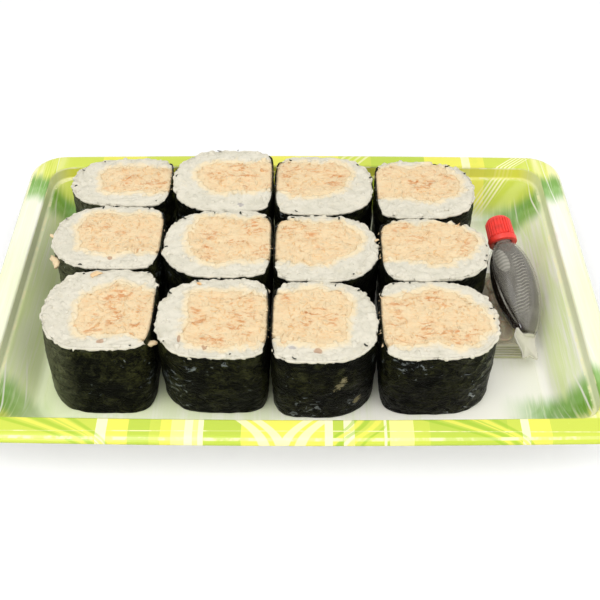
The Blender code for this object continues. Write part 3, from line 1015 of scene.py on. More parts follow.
def swirled(points, along, across, swirl, seed):
    """Points drawn out to along by across in a direction that wanders over swirl metres."""
    x, y = np.asarray(points, float).T
    angle = rolling_noise(xyz(x, y, seed), swirl, seed) * SWIRL
    u = x * np.cos(angle) + y * np.sin(angle)
    v = y * np.cos(angle) - x * np.sin(angle)
    return xyz(u / along, v / across, seed * 3.7)


def pillows(spots):
    """1 at scattered points, falling smoothly to 0 between them."""
    reach = np.array([noise.voronoi(Vector(spot))[0][0] for spot in spots])
    return np.clip(1.0 - 1.4 * reach**2, 0.0, 1.0)


def outline_points(roll, turns, inset):
    """Plan points of the roll's outline about its middle, in metres."""
    across = np.cos(turns)
    power = np.where(across > 0, FLAT_SIDE_POWER, ROUND_SIDE_POWER)
    wobble = np.sin(3.0 * turns + roll.x + roll.y) * (1.0 - across) / 2
    swell = 1.0 - OUTLINE_WOBBLE * np.abs(wobble)
    x = (roll.width * MM / 2 * swell - inset) * signed_power(across, 2.0 / power)
    y = (roll.depth * MM / 2 * swell - inset) * signed_power(np.sin(turns), 2.0 / power)
    return np.stack([roll.flat * x, y], axis=-1)


def even_turns(roll, count):
    """Turns that space count points evenly round the outline, and closer where it bends."""
    turns = np.linspace(0.0, math.tau, 2881)
    points = outline_points(roll, turns, 0.0)
    steps = np.diff(points, axis=0)
    lengths = np.linalg.norm(steps, axis=1)
    heading = np.unwrap(np.arctan2(steps[:, 1], steps[:, 0]))
    bends = np.abs(np.diff(heading, prepend=heading[0]))
    run = np.concatenate([[0.0], np.cumsum(lengths + CORNER_WEIGHT * bends / math.tau)])
    return np.interp(np.arange(count) / count * run[-1], run, turns)


def level_inset(share):
    shares, insets = zip(*ROLL_LEVELS)
    return np.interp(share, shares, insets) * MM


def stand_up(roll, plan, heights):
    """Plan points at heights, in the world, with the roll's lean and slope."""
    bottom = FLOOR + GAP
    share = (heights - bottom) / (roll.top * MM - bottom)
    x = roll.x * MM + plan[..., 0]
    y = roll.y * MM + plan[..., 1] - roll.lean * MM * (1.0 - share)
    return xyz(x, y, heights + roll.slope * share * plan[..., 1] / roll.depth)


def filling_centre(roll):
    return np.array([roll.flat * roll.rice_side, roll.rice_front - roll.rice_back]) * MM / 2


def filling_reach(roll, angles):
    """How far the filling spreads from its centre where no seaweed stops it."""
    half_x = (roll.width - roll.rice_side) * MM / 2
    half_y = (roll.depth - roll.rice_front - roll.rice_back) * MM / 2
    across = np.abs(np.cos(angles)) / half_x
    along = np.abs(np.sin(angles)) / half_y
    plain = (across**FILLING_POWER + along**FILLING_POWER) ** (-1.0 / FILLING_POWER)
    wobble = np.sin(3.0 * angles + roll.x) + 0.6 * np.sin(5.0 * angles + roll.y)
    pressed_out = np.where(np.cos(angles) * roll.flat > 0.5, 1.12, 1.0)
    spots = xyz(np.cos(angles) * 10.0, np.sin(angles) * 10.0, roll.x) * MM
    crumbly = rolling_noise(spots, 2.8 * MM) * 0.12 + rolling_noise(spots, 1.1 * MM) * 0.06
    return plain * pressed_out * (1.0 + FILLING_WOBBLE * wobble + crumbly)


def filling_edge(roll, turns, room=0.35 * MM):
    """Plan points where the filling ends toward each point of the outline."""
    centre = filling_centre(roll)
    inside = outline_points(roll, turns, SEAWEED + GAP + room)
    spokes = inside - centre
    lengths = np.linalg.norm(spokes, axis=1)
    angles = np.arctan2(spokes[:, 1], spokes[:, 0])
    reach = np.minimum(filling_reach(roll, angles), lengths)
    return centre + spokes / lengths[:, None] * reach[:, None]


def seaweed_paint(settings):
    paint = Paint("seaweed", Specular_IOR_Level=0.06, Coat_Roughness=0.12)
    x, y, z = paint.split(paint.here)
    flat = paint.scaled(paint.here, (1.0, 1.0, 1.35))
    sheet = paint.noise(12.0, 4.0, 0.6)
    crinkle = paint.noise(4.2, 4.0, 0.6, 1.2, at=flat)
    fibres = paint.noise(0.8, 4.0, 0.7, at=flat)
    thin = (sheet * 0.3 + crinkle * 0.45 + fibres * 0.3).rise(0.49, 0.68)
    # The thin green shows twice as much on the rolls at the left as on those at the right
    dry = x.rise(60.0, -60.0) * 0.3 + 0.3
    ridge = abs(paint.noise(5.5, 3.0, 0.6, 1.6, at=flat) - 0.5)
    vein = ridge.rise(0.016, 0.004) * sheet.rise(0.42, 0.56)
    # Painted light on the left edges of the leftmost rolls, where the lamp falls, in the fold colour
    lit = x.rise(-77.0, -89.0) * (crinkle * 0.5 + fibres * 0.5).rise(0.34, 0.54)
    glint = paint.noise(2.4, 2.0, 0.5, 0.8, at=flat) + (paint.noise(15.0, 1.0, at=flat) - 0.5) * 0.6
    # Glint spots: glossier and coated, and painted in a light highlight colour
    wet = glint.rise(0.68, 0.75)

    # Lighter folds on the right of the last front roll
    fold = ((x * 0.9 - z * 0.6 + crinkle * 7.0) / 5.6).fraction().band(0.5, 0.02, 0.13)
    folded = fold * x.rise(58.0, 66.0) * (-y).rise(26.0, 36.0) * crinkle.rise(0.4, 0.55)

    # Pale tears low on the front of the third roll
    wide = ((x - 17.2) * 0.85 - (z - 21.0) * 0.52) / 1.5
    long = ((x - 17.2) * 0.52 + (z - 21.0) * 0.85) / 3.2
    ragged = (crinkle - 0.5) * 5.0 + (fibres - 0.5) * 4.0
    near = (wide * wide + long * long + ragged).rise(1.1, 0.7)
    low = ((x - 24.0) * (x - 24.0) * 0.5 + (z - 9.5) * (z - 9.5) + ragged * 2.0).rise(1.6, 0.8)
    torn = near.most(low) * (-y).rise(50.0, 53.0)

    ridges = paint.bump(crinkle, 0.0056, 1.0)
    return paint.finish(
        Base_Color=paint.over(
            settings.dark,
            (thin * dry, settings.green),
            (vein * 0.55, settings.green),
            (lit * 0.85, settings.fold),
            (wet * 0.38, settings.oil),
            (folded * 0.6, settings.fold),
            (torn * 0.8, settings.torn),
        ),
        Roughness=(0.2 + sheet * 0.24 + fibres * 0.12) * (1.0 - wet * 0.6),
        Coat_Weight=(wet * 0.9).most(crinkle.rise(0.5, 0.62) * 0.2),
        Normal=paint.bump(fibres, 0.0007, 0.8, after=ridges),
    )


class SUSHI_OT_seaweed(Operator):
    """Wraps each roll in a wrinkled sheet of seaweed"""

    bl_idname = "sushi.seaweed"
    bl_label = "Seaweed"

    def execute(self, context):
        settings = context.scene.sushi.seaweed
        shape = Shape()
        for number, roll in enumerate(ROLLS):
            self.wrap(shape, roll, number, settings)
        sheets = shape.piece("seaweed_sheets", seaweed_paint(settings))
        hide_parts(*[f"seaweed_{roll.name}" for roll in ROLLS])
        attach(sheets, "root")
        return {"FINISHED"}

    def wrap(self, shape, roll, number, settings):
        turns = even_turns(roll, SEAWEED_COLUMNS)
        bottom = FLOOR + GAP
        around = outline_points(roll, turns, 0.0)
        spots = xyz(*around.T, number * 0.05)
        tears = 0.5 + 0.5 * rolling_noise(spots, 2.6 * MM, number)
        small = rolling_noise(spots, 1.0 * MM, number + 3)
        tears = settings.ragged * (1.3 * tears + 0.35 * small)
        edge = roll.top * MM - 0.35 * MM - (0.85 * MM + tears) * rounded_share(turns)
        rows = []
        for share in np.linspace(0.0, 1.0, SEAWEED_ROWS):
            heights = bottom + (edge - bottom) * share
            inset = level_inset(share)
            plan = outline_points(roll, turns, inset)
            spot = xyz(*around.T, heights * 1.8)
            wave = rolling_noise(spot, 8.0 * MM, number) + 0.6 * rolling_noise(spot, 3.0 * MM, number)
            creases = np.abs(rolling_noise(spot * (1.0, 1.0, 1.5), 5.5 * MM, number + 5))
            wave = (wave - 0.35 * (1.0 - 2.0 * creases)) * settings.wrinkle / MM
            outward = outline_points(roll, turns, inset - 1.0 * MM) - plan
            rows.append(stand_up(roll, plan + outward * wave[:, None] * 0.6, heights))
        for share in (1.0, 0.9, 0.0):
            plan = outline_points(roll, turns, level_inset(share) + SEAWEED)
            rows.append(stand_up(roll, plan, bottom + (edge - bottom) * share))
        shape.add_grid(rows, wrap_rows=True)


# Bits of fish and dull patches in the cut rice, in millimetres: X, Y and half sizes
RICE_BITS = (
    (-69.4, -48.9, 1.3, 1.0), (-31.6, -51.4, 0.9, 1.4), (9.1, -53.3, 1.6, 1.4),
    (-41.2, -47.4, 0.6, 2.0), (-72.1, -3.7, 1.0, 0.9),
)
RICE_PATCHES = (
    (-0.2, -51.8, 1.6, 1.0), (34.2, -36.8, 1.8, 2.4), (-22.3, 28.5, 1.5, 1.0),
)
# The rice's edge: depth below the cut face, and how far inside the outline, plain and where it
# swells, in millimetres
RICE_OVERHANG = (
    (3.2, 0.65, 0.65), (2.3, 0.62, 0.45), (1.75, 0.6, -0.1),
    (1.25, 0.6, -0.5), (0.8, 0.68, -0.35), (0.45, 0.9, 0.15),
)


def rice_paint(settings):
    paint = Paint(
        "rice",
        Specular_IOR_Level=0.45,
        Subsurface_Weight=0.1,
        Subsurface_Radius=(0.0016, 0.0016, 0.0015),
        Subsurface_Scale=1.0,
    )
    x, y, _ = paint.split(paint.here)
    patch = paint.noise(4.5, 3.0, 0.6)
    shade = paint.attribute("shade") * 0.25 + patch * 0.75
    stain = paint.attribute("stain") + (paint.noise(3.4, 3.0) - 0.5) * 1.2
    speck = paint.noise(1.5, 2.0).rise(0.74, 0.79)
    speck = speck * paint.noise(13.0).rise(0.5, 0.6)
    layers = [
        (shade.rise(0.3, 0.62), settings.white),
        (stain.rise(0.05, 0.85) * 0.8, settings.dressing),
        (speck * 0.55, settings.speck),
    ]
    spots = [(spot, settings.speck, 0.8) for spot in RICE_BITS]
    spots += [(spot, settings.bruise, 0.6) for spot in RICE_PATCHES]
    for (middle, front, wide, deep), tint, share in spots:
        run = (x - middle) / wide
        rise = (y - front) / deep
        near = (run * run + rise * rise + (patch - 0.5) * 3.0).rise(1.3, 0.6)
        layers.append((near * share, tint))
    fine = paint.noise(0.9, 3.0, 0.6)
    wet = paint.noise(2.0, 2.0)
    return paint.finish(
        Base_Color=paint.over(settings.grey, *layers),
        Roughness=0.18 + wet * 0.24,
        Normal=paint.bump(fine, 0.00014, 0.5),
    )


def rice_height(roll, plan, number):
    """Height of the pressed grains over plan points."""
    grains = pillows(swirled(plan, 5.4 * MM, 2.9 * MM, 9.0 * MM, number * 0.31 + 1.0))
    spots = xyz(*plan.T, number * 0.07)
    lumps = rolling_noise(spots, 6.0 * MM, 3.0) * 0.35 + rolling_noise(spots, 1.7 * MM, 5.0) * 0.12
    return (roll.top - 1.1 + 0.75 * grains + lumps) * MM


def small_shapes(name, kinds):
    """A collection of small closed shapes, from the rings of points of each."""
    shapes = bpy.data.collections.new(f"{name}_shapes")
    bpy.context.scene.collection.children.link(shapes)
    for number, rings in enumerate(kinds):
        piece = Shape().closed(rings).piece(f"{name}_{number}", None)
        bpy.context.scene.collection.objects.unlink(piece)
        shapes.objects.link(piece)
    return shapes


def bed_shapes(bed, name, shapes, settings, material, **values):
    """Scatters the small shapes over a bed and returns them as one piece."""
    values.update(Spacing=settings.spacing, Seed=settings.seed, Material=material)
    piece = grow(bed, scatter_tree(), name, Shapes=shapes, **values)
    for thing in list(shapes.objects):
        bpy.data.objects.remove(thing)
    bpy.data.collections.remove(shapes)
    return piece


def grain_rings(settings):
    """Cooked grains, each a bent oval of a few dozen faces."""
    chance = random.Random(4)
    turns = np.linspace(0.0, math.tau, 8)[:-1]
    for _ in range(GRAIN_KINDS):
        length = settings.grain * chance.uniform(0.92, 1.05)
        width = GRAIN_WIDTH * chance.uniform(0.92, 1.05)
        rings = []
        for share in np.linspace(0.0, 1.0, 8)[1:-1]:
            end = (2 * share - 1) ** 2
            swell = math.sqrt(1.0 - end) ** 0.8 * width
            y = np.cos(turns) / 2 * swell + 0.35 * MM * end
            rings.append(xyz((share - 0.5) * length, y, np.sin(turns) * 0.42 * swell))
        yield rings


class SUSHI_OT_rice(Operator):
    """Packs the rice and beds loose grains in its cut face"""

    bl_idname = "sushi.rice"
    bl_label = "Rice"

    def execute(self, context):
        settings = context.scene.sushi.rice
        material = rice_paint(settings)
        core = Shape()
        bed = Shape()
        for number, roll in enumerate(ROLLS):
            self.pack(core, bed, roll, number)
        core = core.piece("rice_core", material)
        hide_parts(*[f"rice_{roll.name}" for roll in ROLLS])
        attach(core, "root")
        grains = bed_shapes(
            bed.piece("rice_bed", None, facing="up"),
            "rice_grains",
            small_shapes("grain", grain_rings(settings)),
            settings,
            material,
            Smallest=0.8,
            Largest=1.08,
            Tilt=0.3,
            Sink=1.04 * MM,
            Swirl=0.0,
            Whorl=10.0 * MM,
        )
        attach(grains, "root")
        return {"FINISHED"}

    def pack(self, core, bed, roll, number):
        count = RICE_COLUMNS
        turns = even_turns(roll, count)
        bottom = FLOOR + GAP
        top = roll.top * MM
        free = rounded_share(turns)
        near = filling_edge(roll, turns, 1.0 * MM)
        spots = xyz(*outline_points(roll, turns, 0.0).T, number * 0.11)
        swell = 0.75 * rolling_noise(spots, 3.4 * MM, 2.0) + 0.6 * rolling_noise(spots, 1.5 * MM, 6.0)
        swell = np.clip(0.5 + swell, -0.1, 1.25) * free
        far = outline_points(roll, turns, (0.95 - 0.25 * free) * MM)
        thickness = np.linalg.norm(far - near, axis=1)
        # Where the filling reaches the seaweed, the rice dips out of sight
        hidden = np.clip((2.2 * MM - thickness) / (1.0 * MM), 0.0, 1.0) * 3.0 * MM
        rows = []
        for share in (0.0, 0.5):
            plan = outline_points(roll, turns, level_inset(share) + SEAWEED + GAP / 2)
            rows.append(stand_up(roll, plan, bottom + (top - bottom) * share))
        for depth, plain, swollen in RICE_OVERHANG:
            plan = outline_points(roll, turns, (plain + (swollen - plain) * swell) * MM)
            heights = top - depth * MM - 0.35 * MM * (1.0 - swell) - hidden
            rows.append(stand_up(roll, plan, heights))
        stains = [np.zeros(count)] * len(rows)
        inside = []
        for share in np.linspace(1.0, 0.0, RICE_ROWS):
            plan = near + (far - near) * share
            rounding = 0.35 * MM * max(0.0, share - 0.85) / 0.15
            rows.append(stand_up(roll, plan, rice_height(roll, plan, number) - hidden - rounding))
            stains.append(1.0 - np.clip(thickness * share / STAIN_REACH, 0.0, 1.0))
            if share < 0.86:
                inside.append(rows[-1])
        bed.marks.setdefault("stain", []).append(np.concatenate(stains[-len(inside):]))
        rows.append(stand_up(roll, near, bottom))
        stains.append(np.ones(count))
        core.add_grid(rows, wrap_rows=True, shade=0.5, stain=np.array(stains))

        # The bed is open where the rice is too thin to hold a grain
        start = len(bed.points)
        bed.points.extend(np.array(inside).reshape(-1, 3))
        thick = np.tile(thickness > THICK_ENOUGH, len(inside))
        for face in grid_faces(len(inside), count):
            if thick[face[0]] and thick[face[1]]:
                bed.faces.append(tuple(start + corner for corner in face))


def tuna_paint(settings):
    paint = Paint(
        "tuna_salad",
        Specular_IOR_Level=0.5,
        Subsurface_Weight=0.08,
        Subsurface_Radius=(0.001, 0.0008, 0.0006),
        Subsurface_Scale=1.0,
    )
    shade = paint.attribute("shade")
    patch = paint.noise(5.0, 4.0, 0.6)
    drawn = paint.scaled(paint.here, (0.45, 1.3, 1.0))
    fibres = paint.noise(1.3, 4.0, 0.65, 1.6, at=drawn)
    spots = paint.noise(8.0, 2.0).rise(0.47, 0.62)
    flecks = paint.noise(2.6, 4.0, 0.65, 0.8, at=paint.scaled(paint.here, (0.55, 1.5, 1.0)))
    rim = paint.attribute("stain") + (paint.noise(2.2, 3.0) - 0.5) * 0.5
    fine = paint.noise(0.6, 4.0, 0.65)
    wet = paint.bump(fibres, 0.0004, 0.7)
    return paint.finish(
        Base_Color=paint.over(
            settings.cream,
            ((shade * 0.35 + patch * 0.35 + fibres * 0.4).rise(0.42, 0.68), settings.peach),
            (flecks.rise(0.49, 0.62) * spots * 0.85, settings.brown),
            (shade.rise(0.9, 0.93) * spots * 0.6, settings.brown),
            (rim.rise(0.72, 1.05) * 0.7, settings.cream),
        ),
        Roughness=0.3 + fine * 0.3,
        Normal=paint.bump(fine, 0.0003, 0.6, after=wet),
    )


def shred_rings(settings):
    """Flat bent shreds of fish, thinner at their ends."""
    chance = random.Random(9)
    turns = np.linspace(0.0, math.tau, 6)[:-1]
    for long, wide in SHRED_KINDS:
        length = settings.shred * long
        bend = chance.uniform(-0.9, 0.9) * MM
        rings = []
        for share in np.linspace(0.0, 1.0, 6):
            swell = 0.35 + 0.65 * math.sin(math.pi * share) ** 0.6
            swell *= chance.uniform(0.8, 1.1) * wide * MM
            across = bend * (2 * share - 1) ** 2 + np.cos(turns) / 2 * swell
            rings.append(xyz((share - 0.5) * length, across, np.sin(turns) * 0.16 * swell))
        yield rings


class SUSHI_OT_tuna(Operator):
    """Fills each roll with tuna salad and beds shreds of fish in its top"""

    bl_idname = "sushi.tuna"
    bl_label = "Tuna salad"

    def execute(self, context):
        settings = context.scene.sushi.tuna
        material = tuna_paint(settings)
        core = Shape()
        bed = Shape()
        for number, roll in enumerate(ROLLS):
            self.fill(core, bed, roll, number)
        core = core.piece("tuna_core", material)
        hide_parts(*[f"filling_{roll.name}" for roll in ROLLS])
        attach(core, "root")
        shreds = bed_shapes(
            bed.piece("tuna_bed", None, facing="up"),
            "tuna_shreds",
            small_shapes("shred", shred_rings(settings)),
            settings,
            material,
            Smallest=0.6,
            Largest=1.15,
            Tilt=0.09,
            Sink=0.13 * MM,
            Swirl=0.75,
            Whorl=9.0 * MM,
        )
        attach(shreds, "root")
        return {"FINISHED"}

    def fill(self, core, bed, roll, number):
        turns = even_turns(roll, TUNA_COLUMNS)
        edge = filling_edge(roll, turns)
        centre = filling_centre(roll)
        foot = stand_up(roll, edge, FLOOR + GAP)
        tops = []
        shares = np.linspace(1.04, 0.0, TUNA_ROWS)[:-1]
        for share in shares:
            plan = centre + (edge - centre) * share
            spots = xyz(*plan.T, number * 0.09)
            lumps = rolling_noise(spots, 4.5 * MM, 2.0) * 0.6
            lumps += rolling_noise(spots, 1.5 * MM, 4.0) * 0.25
            flakes = pillows(swirled(plan, 3.2 * MM, 1.3 * MM, 8.0 * MM, number * 0.43 + 2.0))
            dive = (max(0.0, share - 0.97) / 0.07) ** 1.5
            tops.append(stand_up(roll, plan, (roll.top - 0.65 + lumps + 0.3 * flakes - dive) * MM))
        stain = np.concatenate([[1.0], shares])[:, None]
        core.closed([foot, *tops], shade=0.35, stain=stain)
        bed.add_grid(tops, caps=("last",), stain=shares[:, None])


# Bottle


def bottle_place():
    turn = Euler(BOTTLE_TURN, "YXZ").to_matrix().to_4x4()
    turn.translation = BOTTLE_MOUTH
    return turn


def to_world(points):
    matrix = np.array(bottle_place())
    return np.asarray(points, float) @ matrix[:3, :3].T + matrix[:3, 3]


def table_columns(table):
    """The columns of a table of numbers."""
    return np.array(table, float).T


def bottle_rings(backs, angles, inset=0.0, ridge=0.0):
    """Rings of the bottle about its own axis, drawn in by inset, with a ridge at the seam."""
    places, widths, thicknesses, powers = table_columns(BOTTLE_STATIONS)
    rings = []
    for back in backs:
        half_width = smooth_through(back, places, widths) * MM - inset
        half_thickness = smooth_through(back, places, thicknesses) * MM - inset
        power = 2.0 / smooth_through(back, places, powers)
        x = half_width * signed_power(np.cos(angles), power)
        z = half_thickness * signed_power(np.sin(angles), power)
        away = np.exp(-((z / (0.35 * MM)) ** 2)) * ridge * np.sign(x)
        rings.append(xyz(x + away, -back * MM, z))
    return np.array(rings)


def seam_angles():
    """Angles round the bottle, closer together at the two seams."""
    return circle(96) - 0.35 * np.sin(2 * circle(96))


def milky_paint(settings):
    """Cloudy plastic over dark sauce, with painted light on its upper face and painted shade on its
    lower side, a bubble and rows of scales.
    """
    paint = Paint("milky_plastic", Specular_IOR_Level=0.5)
    local = paint.scaled(paint.attribute("own_place", "Vector"), (1.0 / MM,) * 3)
    across, along, up = paint.split(local)
    back = -along
    fine = paint.noise(1.6, 3.0, 0.6, at=local)
    long = paint.noise(1.8, 2.0, at=paint.scaled(local, (1.0, 0.18, 1.0)))

    # The bubble of air near the neck, with its rings
    run = (back - 15.4 - (up - 3.4) * 0.5) / 5.6
    rise = (up - 3.4 - (back - 15.4) * 0.14) / 2.6
    bubble = (run * run + rise * rise).rise(1.1, 0.75) * across.rise(-3.0, -4.5)
    ring = (back / 1.7 + ((up - 3.4) * 0.9).sin() * 0.3 + fine * 0.5).fraction()
    ring = ring.band(0.5, 0.1, 0.3) * bubble

    # The upper face, painted lighter and more solid as lit, the seam, the fin and the neck
    above = up + 1.1 - (back - 14.0) * 0.078
    face = above.rise(0.2, 1.8)
    # A painted highlight along the seam's ridge
    seam = above.band(0.1, 0.14, 0.4) * across.rise(-3.0, -5.0)
    seam = seam * back.rise(12.0, 15.0) * back.rise(43.0, 40.0)
    fin = back.rise(45.2, 46.2).most(abs(up).rise(0.9, 0.6) * back.rise(43.0, 43.6))
    neck = back.rise(7.5, 4.5)

    # Short arcs of scales, in a strip along the upper side
    strip = (across + 3.4 + (back - 17.0) * 0.1).band(0.0, 1.7, 1.8) * face
    strip = strip * back.rise(11.0, 15.0) * back.rise(41.0, 35.0) * (1.0 - bubble)
    row = (back / 1.35 + across * 0.3 + (across * 1.5).sin() * 0.12 + fine * 0.35).fraction()
    scale = row.band(0.5, 0.08, 0.26) * strip

    # The upper face is made more solid so that its lit colour shows; the lower side stays clear over
    # the sauce, in the painted shade colour
    solid = 0.06 + face * 0.28 + fine * 0.08 + across.rise(0.0, 7.0) * face * 0.1
    solid = solid + scale * 0.15 + seam * 0.35
    waves = paint.bump(scale, 0.0004, 0.7)
    return paint.finish(
        Base_Color=paint.over(
            settings.shade,
            (face, settings.wall),
            (long.rise(0.4, 0.7) * 0.3, settings.glass),
            (scale.most(seam) * 0.5, settings.glass),
            (bubble * 0.35, settings.glass),
            (ring * 0.35, settings.shade),
            (fin.most(neck * 0.5), settings.glass),
        ),
        Alpha=solid.most(bubble * 0.62).most(fin * 0.74).most(neck * 0.6),
        Roughness=0.16 + fine * 0.14,
        Normal=paint.bump(fine, 0.0002, 0.5, after=waves),
    )


def sauce_paint(settings):
    paint = Paint("soy_sauce", Roughness=0.12, Specular_IOR_Level=0.5)
    deep = paint.noise(6.0, 2.0)
    return paint.finish(Base_Color=paint.mix(deep * 0.4, settings.sauce, DEEP_SAUCE))


def smooth_outline(points, steps=6):
    """A closed smooth line through the points."""
    points = np.asarray(points, float)
    made = []
    for i in range(len(points)):
        a, b, c, d = (points[(i + k - 1) % len(points)] for k in range(4))
        for t in np.arange(steps) / steps:
            bend = (2 * a - 5 * b + 4 * c - d) * t**2 + (3 * b - a - 3 * c + d) * t**3
            made.append(0.5 * (2 * b + (c - a) * t + bend))
    return np.array(made)


class SUSHI_OT_bottle(Operator):
    """Blows the fish-shaped bottle with its fin, and pours the sauce"""

    bl_idname = "sushi.bottle"
    bl_label = "Sauce bottle"

    def execute(self, context):
        settings = context.scene.sushi.bottle
        backs = np.linspace(0.0, 6.0, 9), np.linspace(6.6, 44.5, 64), np.linspace(44.9, 46.4, 6)
        rings = bottle_rings(np.concatenate(backs), seam_angles(), ridge=0.5 * MM)
        shape = Shape().closed(rings)
        outline = smooth_outline([(-up * MM, -back * MM) for up, back in FIN_OUTLINE])
        middle = outline.mean(axis=0)
        plans = [(middle + (outline - middle) * share, height) for height, share in FIN_LAYERS]
        shape.closed([xyz(*plan.T, height * MM) for plan, height in plans])
        own = {"own_place": shape.points}
        milky = milky_paint(settings)
        bottle = new_piece("bottle_wall", to_world(shape.points), shape.faces, milky, attributes=own)
        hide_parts("bottle")
        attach(bottle, "root")
        self.pour(settings)
        return {"FINISHED"}

    def pour(self, settings):
        backs = np.concatenate([np.linspace(0.6, 6.0, 9), np.linspace(6.6, 45.0, 48)])
        shape = Shape().closed(bottle_rings(backs, circle(64), inset=BOTTLE_WALL))
        sauce = new_piece("sauce", to_world(shape.points), shape.faces, sauce_paint(settings))
        cut = bmesh.new()
        cut.from_mesh(sauce.data)
        made = bmesh.ops.bisect_plane(
            cut,
            geom=cut.verts[:] + cut.edges[:] + cut.faces[:],
            plane_co=(0.0, 0.0, SAUCE_LEVEL),
            plane_no=(0.0, 0.0, 1.0),
            clear_outer=True,
        )
        rim = [part for part in made["geom_cut"] if isinstance(part, bmesh.types.BMEdge)]
        bmesh.ops.contextual_create(cut, geom=rim)
        bmesh.ops.recalc_face_normals(cut, faces=cut.faces)
        cut.to_mesh(sauce.data)
        cut.free()
        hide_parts("soy_sauce")
        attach(sauce, "root")


def cap_paint(settings):
    paint = Paint("red_plastic", Roughness=0.3, Specular_IOR_Level=0.5)
    mottle = paint.noise(2.0, 3.0)
    darker = tuple(0.8 * part for part in settings.red)
    colour = paint.mix(mottle.rise(0.35, 0.7), settings.red, darker)
    fine = paint.noise(0.4, 2.0)
    return paint.finish(Base_Color=colour, Normal=paint.bump(fine, 0.00008, 0.4))


class SUSHI_OT_cap(Operator):
    """Turns the red cap and sets ribs round it"""

    bl_idname = "sushi.cap"
    bl_label = "Cap"

    def execute(self, context):
        settings = context.scene.sushi.bottle
        angles = circle(72)
        rings = [
            xyz(radius * MM * np.cos(angles), along * MM, radius * MM * np.sin(angles))
            for along, radius in rounded_corners(CAP_LINE, 0.35, 4)
        ]
        body = Shape().closed(rings).piece("cap_body", None)
        rows = []
        for along, height, half in RIB_SECTIONS:
            heights = np.array([height - 0.3, height, height, height - 0.3])
            rows.append(xyz(heights, along, half * np.array([-1.0, -0.55, 0.55, 1.0])) * MM)
        rib = Shape().closed(rows).piece("cap_rib", None, smooth=False)
        material = cap_paint(settings)
        values = {"Rib": rib, "Count": settings.ribs, "Radius": RIB_RADIUS, "Material": material}
        cap = grow(body, ring_tree(), "bottle_cap", **values)
        bpy.data.objects.remove(rib)
        cap.data.transform(bottle_place())
        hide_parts("cap")
        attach(cap, "root")
        return {"FINISHED"}


# Sachet


def sachet_rings(crimps):
    """Rings of the film across Y, creased on top and crimped at both seals, and their seal marks."""
    places, halves, heights = table_columns(SACHET_STATIONS)
    angles = circle(64)
    side = np.sin(angles)
    upper = np.clip(side, 0.0, 1.0)
    reach = np.where(side > 0, 1.0 - SACHET_WAIST, SACHET_WAIST)
    rings, seals = [], []
    for y in np.linspace(places[0], places[-1], 240):
        half = smooth_through(y, places, halves) * MM
        height = smooth_through(y, places, heights) * MM
        seal = np.clip((1.9 * MM - height) / (0.9 * MM), 0.0, 1.0)
        wave = 0.16 * MM * seal * math.sin(math.tau * crimps * y / SEAL_LENGTH)
        x = SACHET_CENTRE_X + half * np.cos(angles)
        creases = 1.0 - 2.2 * np.abs(rolling_noise(xyz(x, y * MM * 0.8, 0.0), 5.0 * MM, 2.0))
        lift = (wave + (1.0 - seal) * 0.35 * MM * creases) * upper
        z = FLOOR + GAP + height * (SACHET_WAIST + reach * side) + lift
        rings.append(xyz(x, y * MM, z))
        seals.append([seal])
    return rings, np.array(seals)


def film_paint(settings):
    paint = Paint("clear_film", Specular_IOR_Level=0.6)
    _, y, _ = paint.split(paint.here)
    cloud = paint.noise(8.0, 3.0)
    seal = paint.attribute("seal")
    ridge = (y * (math.tau * settings.crimps / SEAL_LENGTH)).sin() * 0.5 + 0.5
    # The grooves between the crimps are painted in the darker seam colour as painted shade
    pressed = paint.mix(ridge, settings.seam, settings.film)
    colour = paint.mix(seal, paint.mix(cloud * 0.4, settings.film, settings.ginger), pressed)
    folds = paint.noise(2.6, 3.0, 0.5, 1.4)
    return paint.finish(
        Base_Color=colour,
        Alpha=0.2 + cloud * 0.15 + seal * 0.45,
        Roughness=0.12 + cloud * 0.12,
        Normal=paint.bump(folds, 0.0009, 0.7),
    )


def ginger_paint(settings):
    paint = Paint(
        "pickled_ginger",
        Roughness=0.3,
        Subsurface_Weight=0.4,
        Subsurface_Radius=(0.002, 0.001, 0.0006),
        Subsurface_Scale=1.0,
    )
    fibre = paint.noise(1.2, 3.0, at=paint.scaled(paint.here, (1.0, 0.25, 1.0)))
    pale = tuple(min(1.0, 1.3 * part + 0.05) for part in settings.ginger)
    return paint.finish(
        Base_Color=paint.mix(fibre.rise(0.35, 0.7), settings.ginger, pale),
        Normal=paint.bump(fibre, 0.0003, 0.5),
    )


